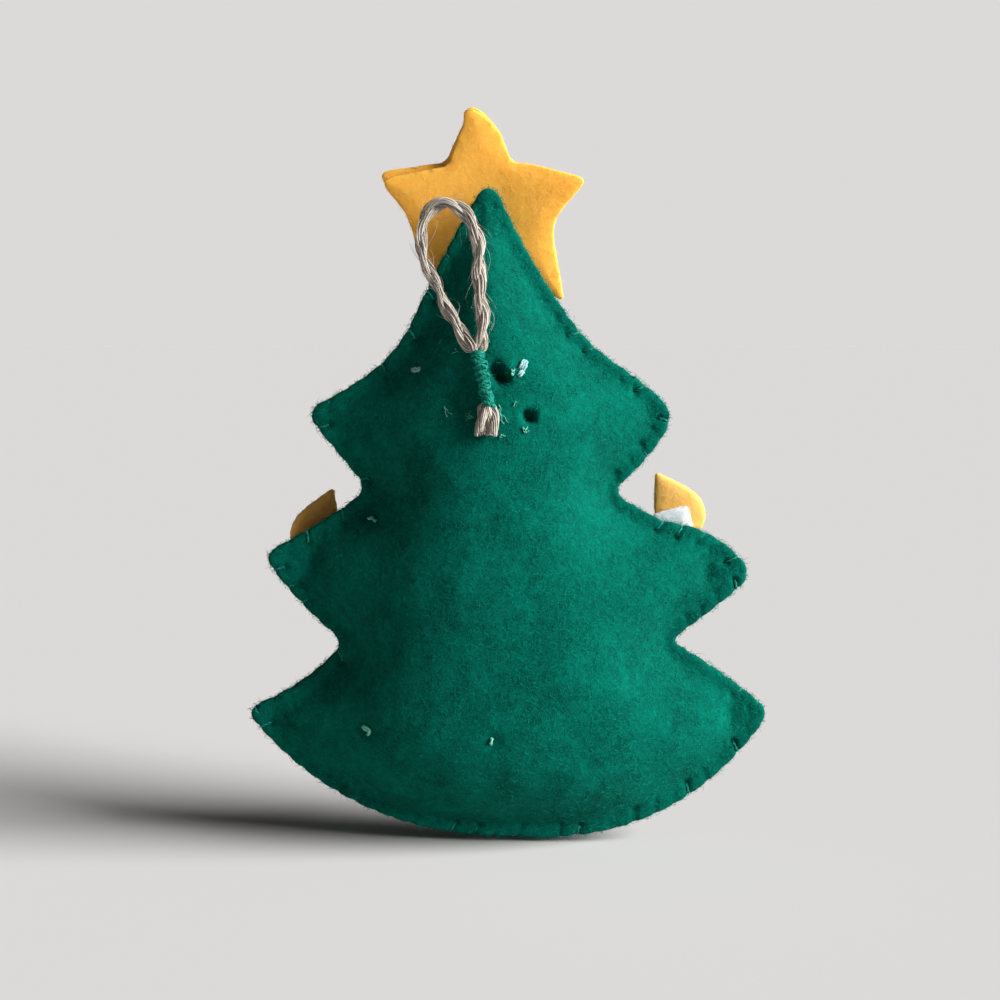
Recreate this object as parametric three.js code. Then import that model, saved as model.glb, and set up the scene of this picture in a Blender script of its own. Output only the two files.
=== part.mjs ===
// Stuffed felt tree ornament with a felt star, felt candles and a twine loop.
// Millimetres, +Z up. The tree stands upright. Its back faces -Y and its front faces +Y.
// Shapes are drawn with z counted up from the hem and y from the seam between
// the two panels, and the finished tree is shifted so that the loop's hanging point is the origin.
import * as THREE from "three";

// Sheets and clearances
const FELT = 1.3;
const CLEARANCE = 0.3;

// Outline of the tree, clockwise from the tip as seen from the back. Each corner is where two cut edges
// would meet. Round is how far along both edges the scissors cut it off, and bow is how far the edge
// that follows swells out of its straight line.
const TREE_CORNERS = [
  { x: -1.5, z: 102.4, round: 4.4, bow: -1.2 },
  { x: 14.6, z: 75.6, round: 5.0, bow: 0.6 },
  { x: 27.1, z: 66.0, round: 3.4, bow: 0.9 },
  { x: 16.9, z: 53.9, round: 3.2, bow: 0.0 },
  { x: 25.2, z: 49.1, round: 2.4, bow: 2.0 },
  { x: 39.3, z: 41.0, round: 2.6, bow: 0.3 },
  { x: 26.2, z: 30.6, round: 2.4, bow: 0.5 },
  { x: 42.2, z: 19.4, round: 2.2, bow: 6.9 },
  { x: 1.1, z: -0.3, round: 4.0, bow: 5.6 },
  { x: -39.8, z: 19.7, round: 2.2, bow: -1.3 },
  { x: -24.2, z: 30.4, round: 2.4, bow: 0.7 },
  { x: -36.9, z: 44.2, round: 2.6, bow: -0.6 },
  { x: -20.4, z: 54.4, round: 2.6, bow: 0.0 },
  { x: -30.3, z: 66.5, round: 3.4, bow: -0.9 },
  { x: -15.0, z: 76.6, round: 5.0, bow: 0.6 },
];
const OUTLINE_STEP = 5.5;
const CORNER_STEPS = 3;

// Stuffing: how far each panel bulges from the seam, and the flat margin outside the stuffing
const BACK_PUFF = 11.5;
const FRONT_PUFF = 11.5;
const FLAT_MARGIN = 2.3;
const CROWN_POWER = 0.9;
// The body is fullest along its middle and thinner towards both sides, by this share at its half width
const FLANK_LOSS = 0.55;
const BODY_LOW = { z: 20, halfWidth: 40 };
const BODY_HIGH = { z: 85, halfWidth: 18 };
const SPINE_LOW = 24;
const SPINE_HIGH = 80;
const SPINE_STEPS = 10;
const RING_SHARES = [0, 0.1, 0.3, 0.6, 1];
const RING_END = 0.8;
const SLOPE_STEP = 0.2;
const HALVINGS = 30;

// Whip stitch round the edge: the thread goes over the edge a quarter and three quarters of the way to the
// next bite, a little slanted
const STITCH_PITCH = 3.25;
const STITCH_BITE = 1.9;
const STITCH_BITE_SPACE = 0.9;
const STITCH_BITE_EASING = 0.93;
const STITCH_BITE_PASSES = 24;
const STITCH_CROSSINGS = { toFront: 0.25, toBack: 0.75, slant: 0.03 };
const STITCH_THREAD = 0.5;
const STITCH_SIDES = 4;
const STITCH_OWN_REACH = 4.0;

// Twine loop and the lashing that holds it
const TWINE = 2.0;
const TWINE_SQUEEZED = 1.1;
const TWINE_SIDES = 8;
const LOOP_STEPS = 26;
const LASHING_THREAD = 0.6;
const LASHING_SIDES = 5;
const LASHING_TURNS = 7;
const LASHING_TURN_STEPS = 12;
const LASHING_PITCH = 1.05;
const LASHING_OWN_REACH = 3.0;
const LASHING_BOTTOM = 68.2;
const LASHING_DIMPLE = 1.4;
const LASHING_DIMPLE_SPREAD = 8.0;
const TWINE_LEAN = { bottomX: -1.9, topX: -3.5 };
const TWINE_END_LENGTH = 4.8;
const TWINE_STUB = 2.0;
const LOOP_FOOT = 1.0;

// Star at the tip: its middle counted from the tip's corner, and reach and direction of the arms and of the
// valleys between them
const STAR_FROM_TIP = { x: -0.5, z: -3.1 };
const STAR_ARMS = [
  { reach: 14.6, angle: 100.5 },
  { reach: 16.0, angle: 10.5 },
  { reach: 20.6, angle: -53.5 },
  { reach: 16.4, angle: -121 },
  { reach: 16.6, angle: 172.5 },
];
const STAR_VALLEYS = [
  { reach: 7.1, angle: 58 },
  { reach: 10.6, angle: -21 },
  { reach: 7.4, angle: -90 },
  { reach: 12.1, angle: -162 },
  { reach: 8.0, angle: 139 },
];
const STAR_ARM_ROUND = 1.7;
const STAR_VALLEY_ROUND = 3.0;
const STAR_TILT = 8;
const STAR_LAYER_SHIFT = { x: -1.0, z: 0.4 };

// Candles and flames on the front
const CANDLE_WIDTH = 5.8;
const CANDLE_LENGTH = 10.0;
const FLAME_WIDTH = 8.0;
const FLAME_LENGTH = 12.0;
const FLAME_OVERLAP = 5.8;
const CANDLE_ROUND = 0.5;
const CANDLE_CORNER_STEPS = 2;
const CANDLE_EDGE_STEPS = 4;
const FLAME_BELLY = 0.36;
const FLAME_CURVE = { foot: 0.62, below: 0.45, above: 1.55, tipHalf: 0.3, tipHeight: 0.84 };
const FLAME_STEPS = 5;
// The place is the middle of the candle's upper end. Lean turns the candle's or the flame's top towards +x.
// Follow is how much of the ground's slope the candle takes on.
const CANDLES = [
  { name: "left_branch", x: -27.9, z: 48.2, lean: 8, flameLean: 24, follow: 1 },
  { name: "right_branch", x: 27.8, z: 51.2, lean: -14, flameLean: -31, follow: 0.3 },
  { name: "top_left", x: -12.6, z: 72.6, lean: 6, flameLean: 16, follow: 1 },
  { name: "top_right", x: 3.3, z: 73.0, lean: -4, flameLean: -12, follow: 1 },
  { name: "bottom_left", x: -20.0, z: 22.5, lean: 4, flameLean: 14, follow: 1 },
  { name: "bottom_middle", x: -1.3, z: 22.0, lean: 0, flameLean: -10, follow: 1 },
];

// Thread tacks that come out on the back
const TACK_THREAD = 0.9;
const TACK_END_STEPS = 2;
const TACK_SIDES = 6;
const TACKS = [
  { name: "tack_top_left", x: -12.6, z: 72.6, length: 0.9, turn: 10, color: "white_thread" },
  { name: "tack_top_right", x: 3.3, z: 73.0, length: 1.7, turn: 65, color: "white_thread" },
  { name: "tack_middle", x: -19.4, z: 50.3, length: 0.7, turn: 30, color: "pale_thread" },
  { name: "tack_bottom_left", x: -20.4, z: 18.0, length: 0.8, turn: -20, color: "pale_thread" },
  { name: "tack_bottom_middle", x: -1.3, z: 17.2, length: 0.9, turn: 15, color: "pale_thread" },
];

const MATERIALS = {
  green_felt: new THREE.MeshStandardMaterial({ color: 0x0b6b52, roughness: 0.95, metalness: 0 }),
  yellow_felt: new THREE.MeshStandardMaterial({ color: 0xf2b544, roughness: 0.95, metalness: 0 }),
  white_felt: new THREE.MeshStandardMaterial({ color: 0xe6ebee, roughness: 0.95, metalness: 0 }),
  fibre_fill: new THREE.MeshStandardMaterial({ color: 0xeeece6, roughness: 1, metalness: 0 }),
  green_thread: new THREE.MeshStandardMaterial({ color: 0x0a5a46, roughness: 0.7, metalness: 0 }),
  white_thread: new THREE.MeshStandardMaterial({ color: 0xf0f0ee, roughness: 0.7, metalness: 0 }),
  pale_thread: new THREE.MeshStandardMaterial({ color: 0x9ccbb8, roughness: 0.7, metalness: 0 }),
  jute: new THREE.MeshStandardMaterial({ color: 0xb9ad97, roughness: 0.95, metalness: 0 }),
};

const tree = new THREE.Group();
tree.name = "felt_tree_ornament";

function addPart(name, geometry, material) {
  const mesh = new THREE.Mesh(geometry, MATERIALS[material]);
  mesh.name = name;
  tree.add(mesh);
  return mesh;
}

function solidFrom(positions, triangles) {
  const geometry = new THREE.BufferGeometry();
  geometry.setAttribute("position", new THREE.Float32BufferAttribute(positions, 3));
  geometry.setIndex(triangles);
  geometry.computeVertexNormals();
  return geometry;
}

// Cut edges and rounded corners, as a list of curves in order
function cutCurves(corners) {
  const count = corners.length;
  const edges = corners.map((corner, i) => {
    const next = corners[(i + 1) % count];
    const start = new THREE.Vector2(corner.x, corner.z);
    const end = new THREE.Vector2(next.x, next.z);
    const run = end.clone().sub(start);
    const outward = new THREE.Vector2(-run.y, run.x).normalize();
    const pull = start.clone().lerp(end, 0.5).addScaledVector(outward, 2 * (corner.bow ?? 0));
    return { start, pull, end, length: run.length() };
  });
  const pointAt = (edge, u, v) =>
    edge.start.clone().lerp(edge.pull, u).lerp(edge.pull.clone().lerp(edge.end, u), v);
  const curves = [];
  edges.forEach((edge, i) => {
    const next = edges[(i + 1) % count];
    const from = corners[i].round / edge.length;
    const nextRound = corners[(i + 1) % count].round;
    const to = 1 - nextRound / edge.length;
    const fromNext = nextRound / next.length;
    const cut = new THREE.QuadraticBezierCurve(
      pointAt(edge, from, from),
      pointAt(edge, from, to),
      pointAt(edge, to, to),
    );
    const rounding = new THREE.QuadraticBezierCurve(
      pointAt(edge, to, to),
      edge.end,
      pointAt(next, fromNext, fromNext),
    );
    curves.push({ curve: cut, corner: false }, { curve: rounding, corner: true });
  });
  return curves;
}

const treeCurves = cutCurves(TREE_CORNERS);
const treePath = new THREE.CurvePath();
treeCurves.forEach(({ curve }) => treePath.add(curve));

const edgePoints = treeCurves.flatMap(({ curve, corner }) => {
  const steps = corner ? CORNER_STEPS : Math.max(2, Math.round(curve.getLength() / OUTLINE_STEP));
  return curve.getPoints(steps).slice(0, -1);
});

const perimeter = treePath.getLength();
const SEAM_SAMPLES = Math.round(perimeter);
const seamSamples = treePath.getSpacedPoints(SEAM_SAMPLES).slice(0, -1);
const seamStep = perimeter / SEAM_SAMPLES;
const treeTop = Math.max(...edgePoints.map((p) => p.y));

// Even distance from the seam: equal to the plain distance beside a straight edge, smooth everywhere
function seamDistance(x, z) {
  let sum = 0;
  for (const p of seamSamples) {
    sum += seamStep / Math.pow(Math.hypot(x - p.x, z - p.y), 3);
  }
  return Math.sqrt(2 / sum);
}

function spinePoint(p) {
  return new THREE.Vector2(0, SPINE_LOW + (SPINE_HIGH - SPINE_LOW) * (p.y / treeTop));
}

const spineDepths = Array.from({ length: SPINE_STEPS + 1 }, (_, step) =>
  seamDistance(0, SPINE_LOW + ((SPINE_HIGH - SPINE_LOW) * step) / SPINE_STEPS),
);
const deepest = Math.max(...spineDepths);

// Fullness of the body: 1 along its middle
function fullness(x, z) {
  const share = THREE.MathUtils.clamp((z - BODY_LOW.z) / (BODY_HIGH.z - BODY_LOW.z), 0, 1);
  const halfWidth = THREE.MathUtils.lerp(BODY_LOW.halfWidth, BODY_HIGH.halfWidth, share);
  const aside = Math.min(1, Math.abs(x) / halfWidth);
  return 1 - FLANK_LOSS * aside * aside;
}

// Bulge of the stuffing over the flat margin
function swell(x, z) {
  const share = (seamDistance(x, z) - FLAT_MARGIN) / (deepest - FLAT_MARGIN);
  const t = THREE.MathUtils.clamp(share, 0, 1);
  return Math.pow(t * (2 - t), CROWN_POWER) * fullness(x, z);
}

const lashingTop = LASHING_BOTTOM + LASHING_TURNS * LASHING_PITCH;
const lashingMiddle = (LASHING_BOTTOM + lashingTop) / 2;

// Middle between the two strands of twine: it leans under the lashing and is upright above and below
function twineAxis(z) {
  const share = THREE.MathUtils.clamp((z - LASHING_BOTTOM) / (lashingTop - LASHING_BOTTOM), 0, 1);
  return THREE.MathUtils.lerp(TWINE_LEAN.bottomX, TWINE_LEAN.topX, share);
}

function backBulge(x, z) {
  const away = Math.hypot(x - twineAxis(lashingMiddle), z - lashingMiddle) / LASHING_DIMPLE_SPREAD;
  const dimple = LASHING_DIMPLE * Math.exp(-away * away);
  const bulge = BACK_PUFF * swell(x, z);
  return Math.max(0, bulge - dimple * Math.min(1, bulge / LASHING_DIMPLE));
}

function frontBulge(x, z) {
  return FRONT_PUFF * swell(x, z);
}

// How much a height rises per millimetre along x and along z
function slopes(height, x, z) {
  const reach = SLOPE_STEP;
  return {
    alongX: (height(x + reach, z) - height(x - reach, z)) / (2 * reach),
    alongZ: (height(x, z + reach) - height(x, z - reach)) / (2 * reach),
  };
}

function steepness(bulge, x, z) {
  const { alongX, alongZ } = slopes(bulge, x, z);
  return Math.sqrt(1 + alongX * alongX + alongZ * alongZ);
}

// Rings of points from the cut edge to the middle, with the height of each surface over the seam plane
const seamFace = CLEARANCE / 2;

// Share of the way from an edge point to the middle at which the flat margin ends
function marginShare(p) {
  let low = 0;
  let high = RING_END;
  for (let step = 0; step < HALVINGS; step++) {
    const half = (low + high) / 2;
    const q = p.clone().lerp(spinePoint(p), half);
    if (seamDistance(q.x, q.y) < FLAT_MARGIN) {
      low = half;
    } else {
      high = half;
    }
  }
  return low;
}

const marginShares = edgePoints.map(marginShare);
const ringAt = (share) =>
  edgePoints.map((p, i) => {
    const start = marginShares[i];
    return p.clone().lerp(spinePoint(p), start + (RING_END - start) * share);
  });
const rings = [edgePoints, ...RING_SHARES.map(ringAt)];
const MARGIN_RING = 1;

function heightsOn(bulge) {
  return rings.map((ring, k) =>
    ring.map((p) => {
      const rise = k <= MARGIN_RING ? 0 : bulge(p.x, p.y);
      const slope = k <= MARGIN_RING ? 1 : steepness(bulge, p.x, p.y);
      const outer = seamFace + FELT + rise;
      const inner = Math.max(seamFace, outer - FELT * slope);
      const filling = inner - CLEARANCE * slope;
      return { outer, inner, filling };
    }),
  );
}

const backHeights = heightsOn(backBulge);
const frontHeights = heightsOn(frontBulge);
const ringSize = edgePoints.length;
const lastRing = rings.length - 1;
const middleTriangles = THREE.ShapeUtils.triangulateShape(rings[lastRing], []);

// One skin over the rings from the given ring inwards, closed in the middle
function skin(positions, triangles, heights, side, facing, firstRing) {
  const start = positions.length / 3;
  for (let k = firstRing; k <= lastRing; k++) {
    rings[k].forEach((p, i) => positions.push(p.x, side * heights[k][i], p.y));
  }
  const at = (k, i) => start + (k - firstRing) * ringSize + (i % ringSize);
  const outward = side * facing > 0;
  const face = (a, b, c) => triangles.push(...(outward ? [a, b, c] : [a, c, b]));
  for (let k = firstRing; k < lastRing; k++) {
    for (let i = 0; i < ringSize; i++) {
      face(at(k, i), at(k, i + 1), at(k + 1, i));
      face(at(k, i + 1), at(k + 1, i + 1), at(k + 1, i));
    }
  }
  middleTriangles.forEach(([a, b, c]) => {
    const clockwise = THREE.ShapeUtils.isClockWise([a, b, c].map((i) => rings[lastRing][i]));
    const turned = clockwise ? [a, b, c] : [a, c, b];
    face(at(lastRing, turned[0]), at(lastRing, turned[1]), at(lastRing, turned[2]));
  });
  return (i) => at(firstRing, i);
}

// Felt panel: an outer and an inner skin, joined round the cut edge
function feltPanel(heights, side) {
  const positions = [];
  const triangles = [];
  const outer = heights.map((ring) => ring.map((h) => h.outer));
  const inner = heights.map((ring) => ring.map((h) => h.inner));
  const outerRim = skin(positions, triangles, outer, side, 1, 0);
  const innerRim = skin(positions, triangles, inner, side, -1, 0);
  for (let i = 0; i < ringSize; i++) {
    const quad = [outerRim(i), innerRim(i), innerRim(i + 1), outerRim(i + 1)];
    const [a, b, c, d] = side > 0 ? quad : [quad[3], quad[2], quad[1], quad[0]];
    triangles.push(a, b, c, a, c, d);
  }
  return solidFrom(positions, triangles);
}

const backPanel = addPart("back_panel", feltPanel(backHeights, -1), "green_felt");
const frontPanel = addPart("front_panel", feltPanel(frontHeights, 1), "green_felt");

// Height of a panel's outer face over the seam plane, or nothing beside the tree
function panelFace(panel, side) {
  const ray = new THREE.Raycaster();
  const clearOfPanel = perimeter;
  const inward = new THREE.Vector3(0, -side, 0);
  return (x, z) => {
    ray.set(new THREE.Vector3(x, side * clearOfPanel, z), inward);
    const hit = ray.intersectObject(panel)[0];
    return hit ? side * hit.point.y : undefined;
  };
}

const backFace = panelFace(backPanel, -1);
const frontFace = panelFace(frontPanel, 1);

// Stuffing: a pillow between the panels that thins out to a ring inside the seam
function pillow() {
  const positions = [];
  const triangles = [];
  const thin = seamFace / 2;
  const filled = (heights) =>
    heights.map((ring, k) => ring.map((h) => (k <= MARGIN_RING ? 0 : Math.max(thin, h.filling))));
  skin(positions, triangles, filled(backHeights), -1, 1, MARGIN_RING);
  const frontStart = positions.length / 3;
  const frontTriangles = [];
  skin(positions, frontTriangles, filled(frontHeights), 1, 1, MARGIN_RING);
  const shared = (index) => (index >= frontStart && index < frontStart + ringSize ? index - frontStart : index);
  triangles.push(...frontTriangles.map(shared));
  const packed = [...new Set(triangles)].sort((a, b) => a - b);
  const renumber = new Map(packed.map((old, i) => [old, i]));
  return solidFrom(
    packed.flatMap((i) => positions.slice(3 * i, 3 * i + 3)),
    triangles.map((i) => renumber.get(i)),
  );
}

addPart("stuffing", pillow(), "fibre_fill");

// Round tube along a list of points, closed into a ring or capped at both ends
function tube(points, radii, sides, closed) {
  const count = points.length;
  const tangents = points.map((p, i) => {
    const before = points[closed ? (i + count - 1) % count : Math.max(0, i - 1)];
    const after = points[closed ? (i + 1) % count : Math.min(count - 1, i + 1)];
    const into = p.clone().sub(before);
    const out = after.clone().sub(p);
    const inUnit = into.lengthSq() > 0 ? into.normalize() : out.clone().normalize();
    const outUnit = out.lengthSq() > 0 ? out.normalize() : inUnit.clone();
    return inUnit.add(outUnit).normalize();
  });
  const positions = [];
  const triangles = [];
  let across = new THREE.Vector3(0, 1, 0).cross(tangents[0]);
  if (across.lengthSq() < 0.01) {
    across = new THREE.Vector3(1, 0, 0).cross(tangents[0]);
  }
  across.normalize();
  points.forEach((p, i) => {
    if (i > 0) {
      const turn = new THREE.Quaternion().setFromUnitVectors(tangents[i - 1], tangents[i]);
      across.applyQuaternion(turn);
    }
    across.addScaledVector(tangents[i], -across.dot(tangents[i])).normalize();
    const up = tangents[i].clone().cross(across);
    for (let s = 0; s < sides; s++) {
      const angle = (2 * Math.PI * s) / sides;
      const rim = p
        .clone()
        .addScaledVector(across, radii[i] * Math.cos(angle))
        .addScaledVector(up, radii[i] * Math.sin(angle));
      positions.push(rim.x, rim.y, rim.z);
    }
  });
  const at = (i, s) => i * sides + (s % sides);
  for (let i = 0; i < count - 1; i++) {
    for (let s = 0; s < sides; s++) {
      triangles.push(at(i, s), at(i, s + 1), at(i + 1, s + 1), at(i, s), at(i + 1, s + 1), at(i + 1, s));
    }
  }
  if (closed) {
    const first = new THREE.Vector3().fromArray(positions, 0);
    let shift = 0;
    let nearest = Infinity;
    const turn = new THREE.Quaternion().setFromUnitVectors(tangents[count - 1], tangents[0]);
    for (let s = 0; s < sides; s++) {
      const rim = new THREE.Vector3().fromArray(positions, 3 * at(count - 1, s));
      const carried = rim.sub(points[count - 1]).applyQuaternion(turn).add(points[0]);
      if (carried.distanceTo(first) < nearest) {
        nearest = carried.distanceTo(first);
        shift = s;
      }
    }
    for (let s = 0; s < sides; s++) {
      const a = at(count - 1, s + shift);
      const b = at(count - 1, s + 1 + shift);
      triangles.push(a, b, at(0, s + 1), a, at(0, s + 1), at(0, s));
    }
  } else {
    for (let s = 1; s < sides - 1; s++) {
      triangles.push(at(0, 0), at(0, s + 1), at(0, s));
      triangles.push(at(count - 1, 0), at(count - 1, s), at(count - 1, s + 1));
    }
  }
  return solidFrom(positions, triangles);
}

// Least distance between two stretches of a tube that lie further apart along it than the given skip
function leastSelfGap(points, diameter, skip, closed) {
  let least = Infinity;
  const count = points.length;
  const lengths = [0];
  for (let i = 1; i < count; i++) {
    lengths.push(lengths[i - 1] + points[i].distanceTo(points[i - 1]));
  }
  const total = lengths[count - 1] + (closed ? points[0].distanceTo(points[count - 1]) : 0);
  for (let i = 0; i < count; i++) {
    for (let j = i + 1; j < count; j++) {
      const along = lengths[j] - lengths[i];
      const apart = closed ? Math.min(along, total - along) : along;
      if (apart > skip) {
        least = Math.min(least, points[i].distanceTo(points[j]) - diameter);
      }
    }
  }
  return least;
}

// Whip stitch: one thread that runs over the edge from bite to bite, on the back and on the front by turns
const stitchCount = Math.round(perimeter / STITCH_PITCH);
const stitchLift = CLEARANCE + STITCH_THREAD / 2;

function edgeAt(share) {
  const u = ((share % 1) + 1) % 1;
  const point = treePath.getPointAt(u);
  const along = treePath.getTangentAt(u);
  return { point, outward: new THREE.Vector2(-along.y, along.x) };
}

function stitchPoint(share, out, side, over) {
  const { point, outward } = edgeAt(share);
  const spot = point.clone().addScaledVector(outward, out);
  const bulge = side < 0 ? backBulge : frontBulge;
  const rise = out < 0 ? bulge(spot.x, spot.y) : 0;
  return new THREE.Vector3(spot.x, side * (seamFace + FELT + rise + over), spot.y);
}

// Round the tips the needle bites less deep, so that neighbouring bites keep clear of each other
function bites(side, offset) {
  const depths = Array.from({ length: stitchCount }, () => STITCH_BITE);
  const place = (i) => stitchPoint((i + offset) / stitchCount, -depths[i], side, stitchLift);
  for (let pass = 0; pass < STITCH_BITE_PASSES; pass++) {
    for (let i = 0; i < stitchCount; i++) {
      const next = (i + 1) % stitchCount;
      if (place(i).distanceTo(place(next)) < STITCH_THREAD + STITCH_BITE_SPACE) {
        depths[i] *= STITCH_BITE_EASING;
        depths[next] *= STITCH_BITE_EASING;
      }
    }
  }
  return depths.map((_, i) => place(i));
}

const { toFront, toBack, slant } = STITCH_CROSSINGS;
const backBites = bites(-1, 0);
const frontBites = bites(1, (toFront + toBack) / 2);
const stitchPath = [];
for (let i = 0; i < stitchCount; i++) {
  const crossing = (part, side) => stitchPoint((i + part) / stitchCount, stitchLift, side, CLEARANCE);
  stitchPath.push(
    backBites[i],
    crossing(toFront - slant, -1),
    crossing(toFront + slant, 1),
    frontBites[i],
    crossing(toBack - slant, 1),
    crossing(toBack + slant, -1),
  );
}
const stitchRadii = stitchPath.map(() => STITCH_THREAD / 2);
addPart("edge_stitching", tube(stitchPath, stitchRadii, STITCH_SIDES, true), "green_thread");

// Twine: two strands run side by side up the back under the lashing and on into the free loop
const strandHalf = (TWINE + CLEARANCE) / 2;
const squeezedHalf = (TWINE_SQUEEZED + CLEARANCE) / 2;
const splitHeight = lashingTop + TWINE_STUB;
const lashingReach = CLEARANCE + LASHING_THREAD;
const lashingHalfWidth = squeezedHalf + TWINE_SQUEEZED / 2 + lashingReach;

// Depth of the squeezed strands: the lashing between them and the felt lies on the highest felt under it
function seatedDepth(z) {
  const under = [-1, 0, 1].map((side) => backFace(twineAxis(z) + side * lashingHalfWidth, z));
  return Math.max(...under) + CLEARANCE + lashingReach + TWINE_SQUEEZED / 2;
}

const depthAtBottom = seatedDepth(LASHING_BOTTOM);
const depthAtTop = seatedDepth(lashingTop);
const strandDepth = (z) =>
  THREE.MathUtils.mapLinear(z, LASHING_BOTTOM, lashingTop, depthAtBottom, depthAtTop);

// Free loop: up from the left strand, over the crown and down to the right strand
const LOOP_POINTS = [
  [-5.9, 10.4, 80.3],
  [-7.5, 10.2, 82.3],
  [-9.1, 9.9, 84.7],
  [-10.5, 9.5, 87.4],
  [-11.5, 9.2, 90.1],
  [-11.8, 8.9, 92.6],
  [-11.3, 8.6, 95.0],
  [-10.1, 8.5, 96.8],
  [-8.4, 8.4, 97.7],
  [-6.6, 8.5, 97.3],
  [-5.1, 8.6, 95.9],
  [-4.0, 8.8, 94.1],
  [-3.3, 9.1, 91.9],
  [-3.1, 9.4, 89.4],
  [-3.1, 9.8, 86.4],
  [-2.9, 10.2, 83.4],
  [-2.5, 10.4, 80.9],
];
const loopFoot = (side, up) =>
  new THREE.Vector3(twineAxis(splitHeight) + side * strandHalf, -strandDepth(splitHeight), splitHeight + up);
const loopPath = [
  loopFoot(-1, 0),
  loopFoot(-1, LOOP_FOOT),
  ...LOOP_POINTS.map(([x, depth, z]) => new THREE.Vector3(x, -depth, z)),
  loopFoot(1, LOOP_FOOT),
  loopFoot(1, 0),
];
const twineSection = Array.from({ length: TWINE_SIDES }, (_, side) => {
  const angle = (2 * Math.PI * side) / TWINE_SIDES;
  return new THREE.Vector2(Math.cos(angle), Math.sin(angle)).multiplyScalar(TWINE / 2);
});
const loopTwine = new THREE.ExtrudeGeometry(new THREE.Shape(twineSection), {
  steps: LOOP_STEPS,
  extrudePath: new THREE.CatmullRomCurve3(loopPath),
});
addPart("hanging_loop", loopTwine, "jute");

function twineEnd(side) {
  const x = (half, z) => twineAxis(z) + side * half;
  const rest = (half, z, radius) => backFace(x(half, z), z) + CLEARANCE + radius;
  const cutHeight = LASHING_BOTTOM - TWINE_END_LENGTH;
  const full = TWINE / 2;
  const squeezed = TWINE_SQUEEZED / 2;
  const footDepth = strandDepth(splitHeight);
  const below = LASHING_BOTTOM - TWINE;
  const rows = [
    { half: strandHalf, z: splitHeight - CLEARANCE, depth: footDepth, radius: full },
    { half: strandHalf, z: splitHeight - TWINE_STUB / 2, depth: footDepth, radius: full },
    { half: squeezedHalf, z: lashingTop, depth: strandDepth(lashingTop), radius: squeezed },
    { half: squeezedHalf, z: LASHING_BOTTOM, depth: strandDepth(LASHING_BOTTOM), radius: squeezed },
    { half: strandHalf, z: below, depth: rest(strandHalf, below, full), radius: full },
    { half: strandHalf, z: cutHeight, depth: rest(strandHalf, cutHeight, full), radius: full },
  ];
  const points = rows.map((row) => new THREE.Vector3(x(row.half, row.z), -row.depth, row.z));
  return tube(points, rows.map((row) => row.radius), TWINE_SIDES, false);
}

addPart("twine_end_left", twineEnd(-1), "jute");
addPart("twine_end_right", twineEnd(1), "jute");

// Lashing: one thread wound round both squeezed strands
function lashing() {
  const halfWidth = lashingHalfWidth - LASHING_THREAD / 2;
  const halfDepth = TWINE_SQUEEZED / 2 + lashingReach - LASHING_THREAD / 2;
  const points = [];
  for (let i = 0; i <= LASHING_TURNS * LASHING_TURN_STEPS; i++) {
    const turn = i / LASHING_TURN_STEPS;
    const angle = 2 * Math.PI * turn;
    const z = LASHING_BOTTOM + LASHING_PITCH * turn;
    points.push(
      new THREE.Vector3(
        twineAxis(z) + halfWidth * Math.cos(angle),
        -strandDepth(z) + halfDepth * Math.sin(angle),
        z,
      ),
    );
  }
  return points;
}

const lashingPath = lashing();
const lashingRadii = lashingPath.map(() => LASHING_THREAD / 2);
addPart("loop_lashing", tube(lashingPath, lashingRadii, LASHING_SIDES, false), "green_thread");

// Height of the front over the seam plane that a felt piece laid there has to clear
const overStitches = CLEARANCE + STITCH_THREAD + CLEARANCE;

function frontGround(x, z) {
  const overSeam = seamDistance(x, z) < STITCH_BITE + STITCH_THREAD;
  return (frontFace(x, z) ?? seamFace + FELT) + (overSeam ? overStitches : CLEARANCE);
}

function groundToClear(x, z) {
  const beside = frontFace(x, z) === undefined && seamDistance(x, z) > overStitches;
  return beside ? -Infinity : frontGround(x, z);
}

// Flat cut piece of felt, its outline in x and z, from y = 0 forwards
function cutFelt(outline) {
  const geometry = new THREE.ExtrudeGeometry(new THREE.Shape(outline), { depth: FELT, bevelEnabled: false });
  geometry.rotateX(Math.PI / 2);
  geometry.translate(0, FELT, 0);
  return geometry;
}

// Seat of a flat piece: how far forward its plane lies so that no spot of its outline touches what is below
function seatOf(outline, centre, place) {
  const shares = [0, 0.25, 0.5, 0.75, 1];
  const reach = outline.flatMap((p) =>
    shares.map((share) => {
      const spot = place.clone().setPosition(0, 0, 0);
      const local = new THREE.Vector3(p.x, 0, p.y).lerp(new THREE.Vector3(centre.x, 0, centre.y), 1 - share);
      const offset = local.applyMatrix4(spot);
      const at = new THREE.Vector3().setFromMatrixPosition(place).add(offset);
      return groundToClear(at.x, at.z) - offset.y;
    }),
  );
  return Math.max(...reach);
}

// Star: two cut layers laid on the tip and leaning with it
function starOutline() {
  const corners = STAR_ARMS.flatMap((arm, i) =>
    [
      { ...arm, round: STAR_ARM_ROUND },
      { ...STAR_VALLEYS[i], round: STAR_VALLEY_ROUND },
    ].map(({ reach, angle, round }) => {
      const turn = THREE.MathUtils.degToRad(angle);
      return { x: reach * Math.cos(turn), z: reach * Math.sin(turn), round };
    }),
  );
  return cutCurves(corners).flatMap(({ curve, corner }) =>
    curve.getPoints(corner ? CORNER_STEPS : 1).slice(0, -1),
  );
}

const starCut = starOutline();
const [tip] = TREE_CORNERS;
const starCentre = { x: tip.x + STAR_FROM_TIP.x, z: tip.z + STAR_FROM_TIP.z };
const starPlace = new THREE.Matrix4().makeRotationX(THREE.MathUtils.degToRad(STAR_TILT));
starPlace.setPosition(starCentre.x, 0, starCentre.z);
const starSeat = seatOf(starCut, new THREE.Vector2(0, 0), starPlace);
starPlace.setPosition(starCentre.x, starSeat, starCentre.z);

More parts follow.
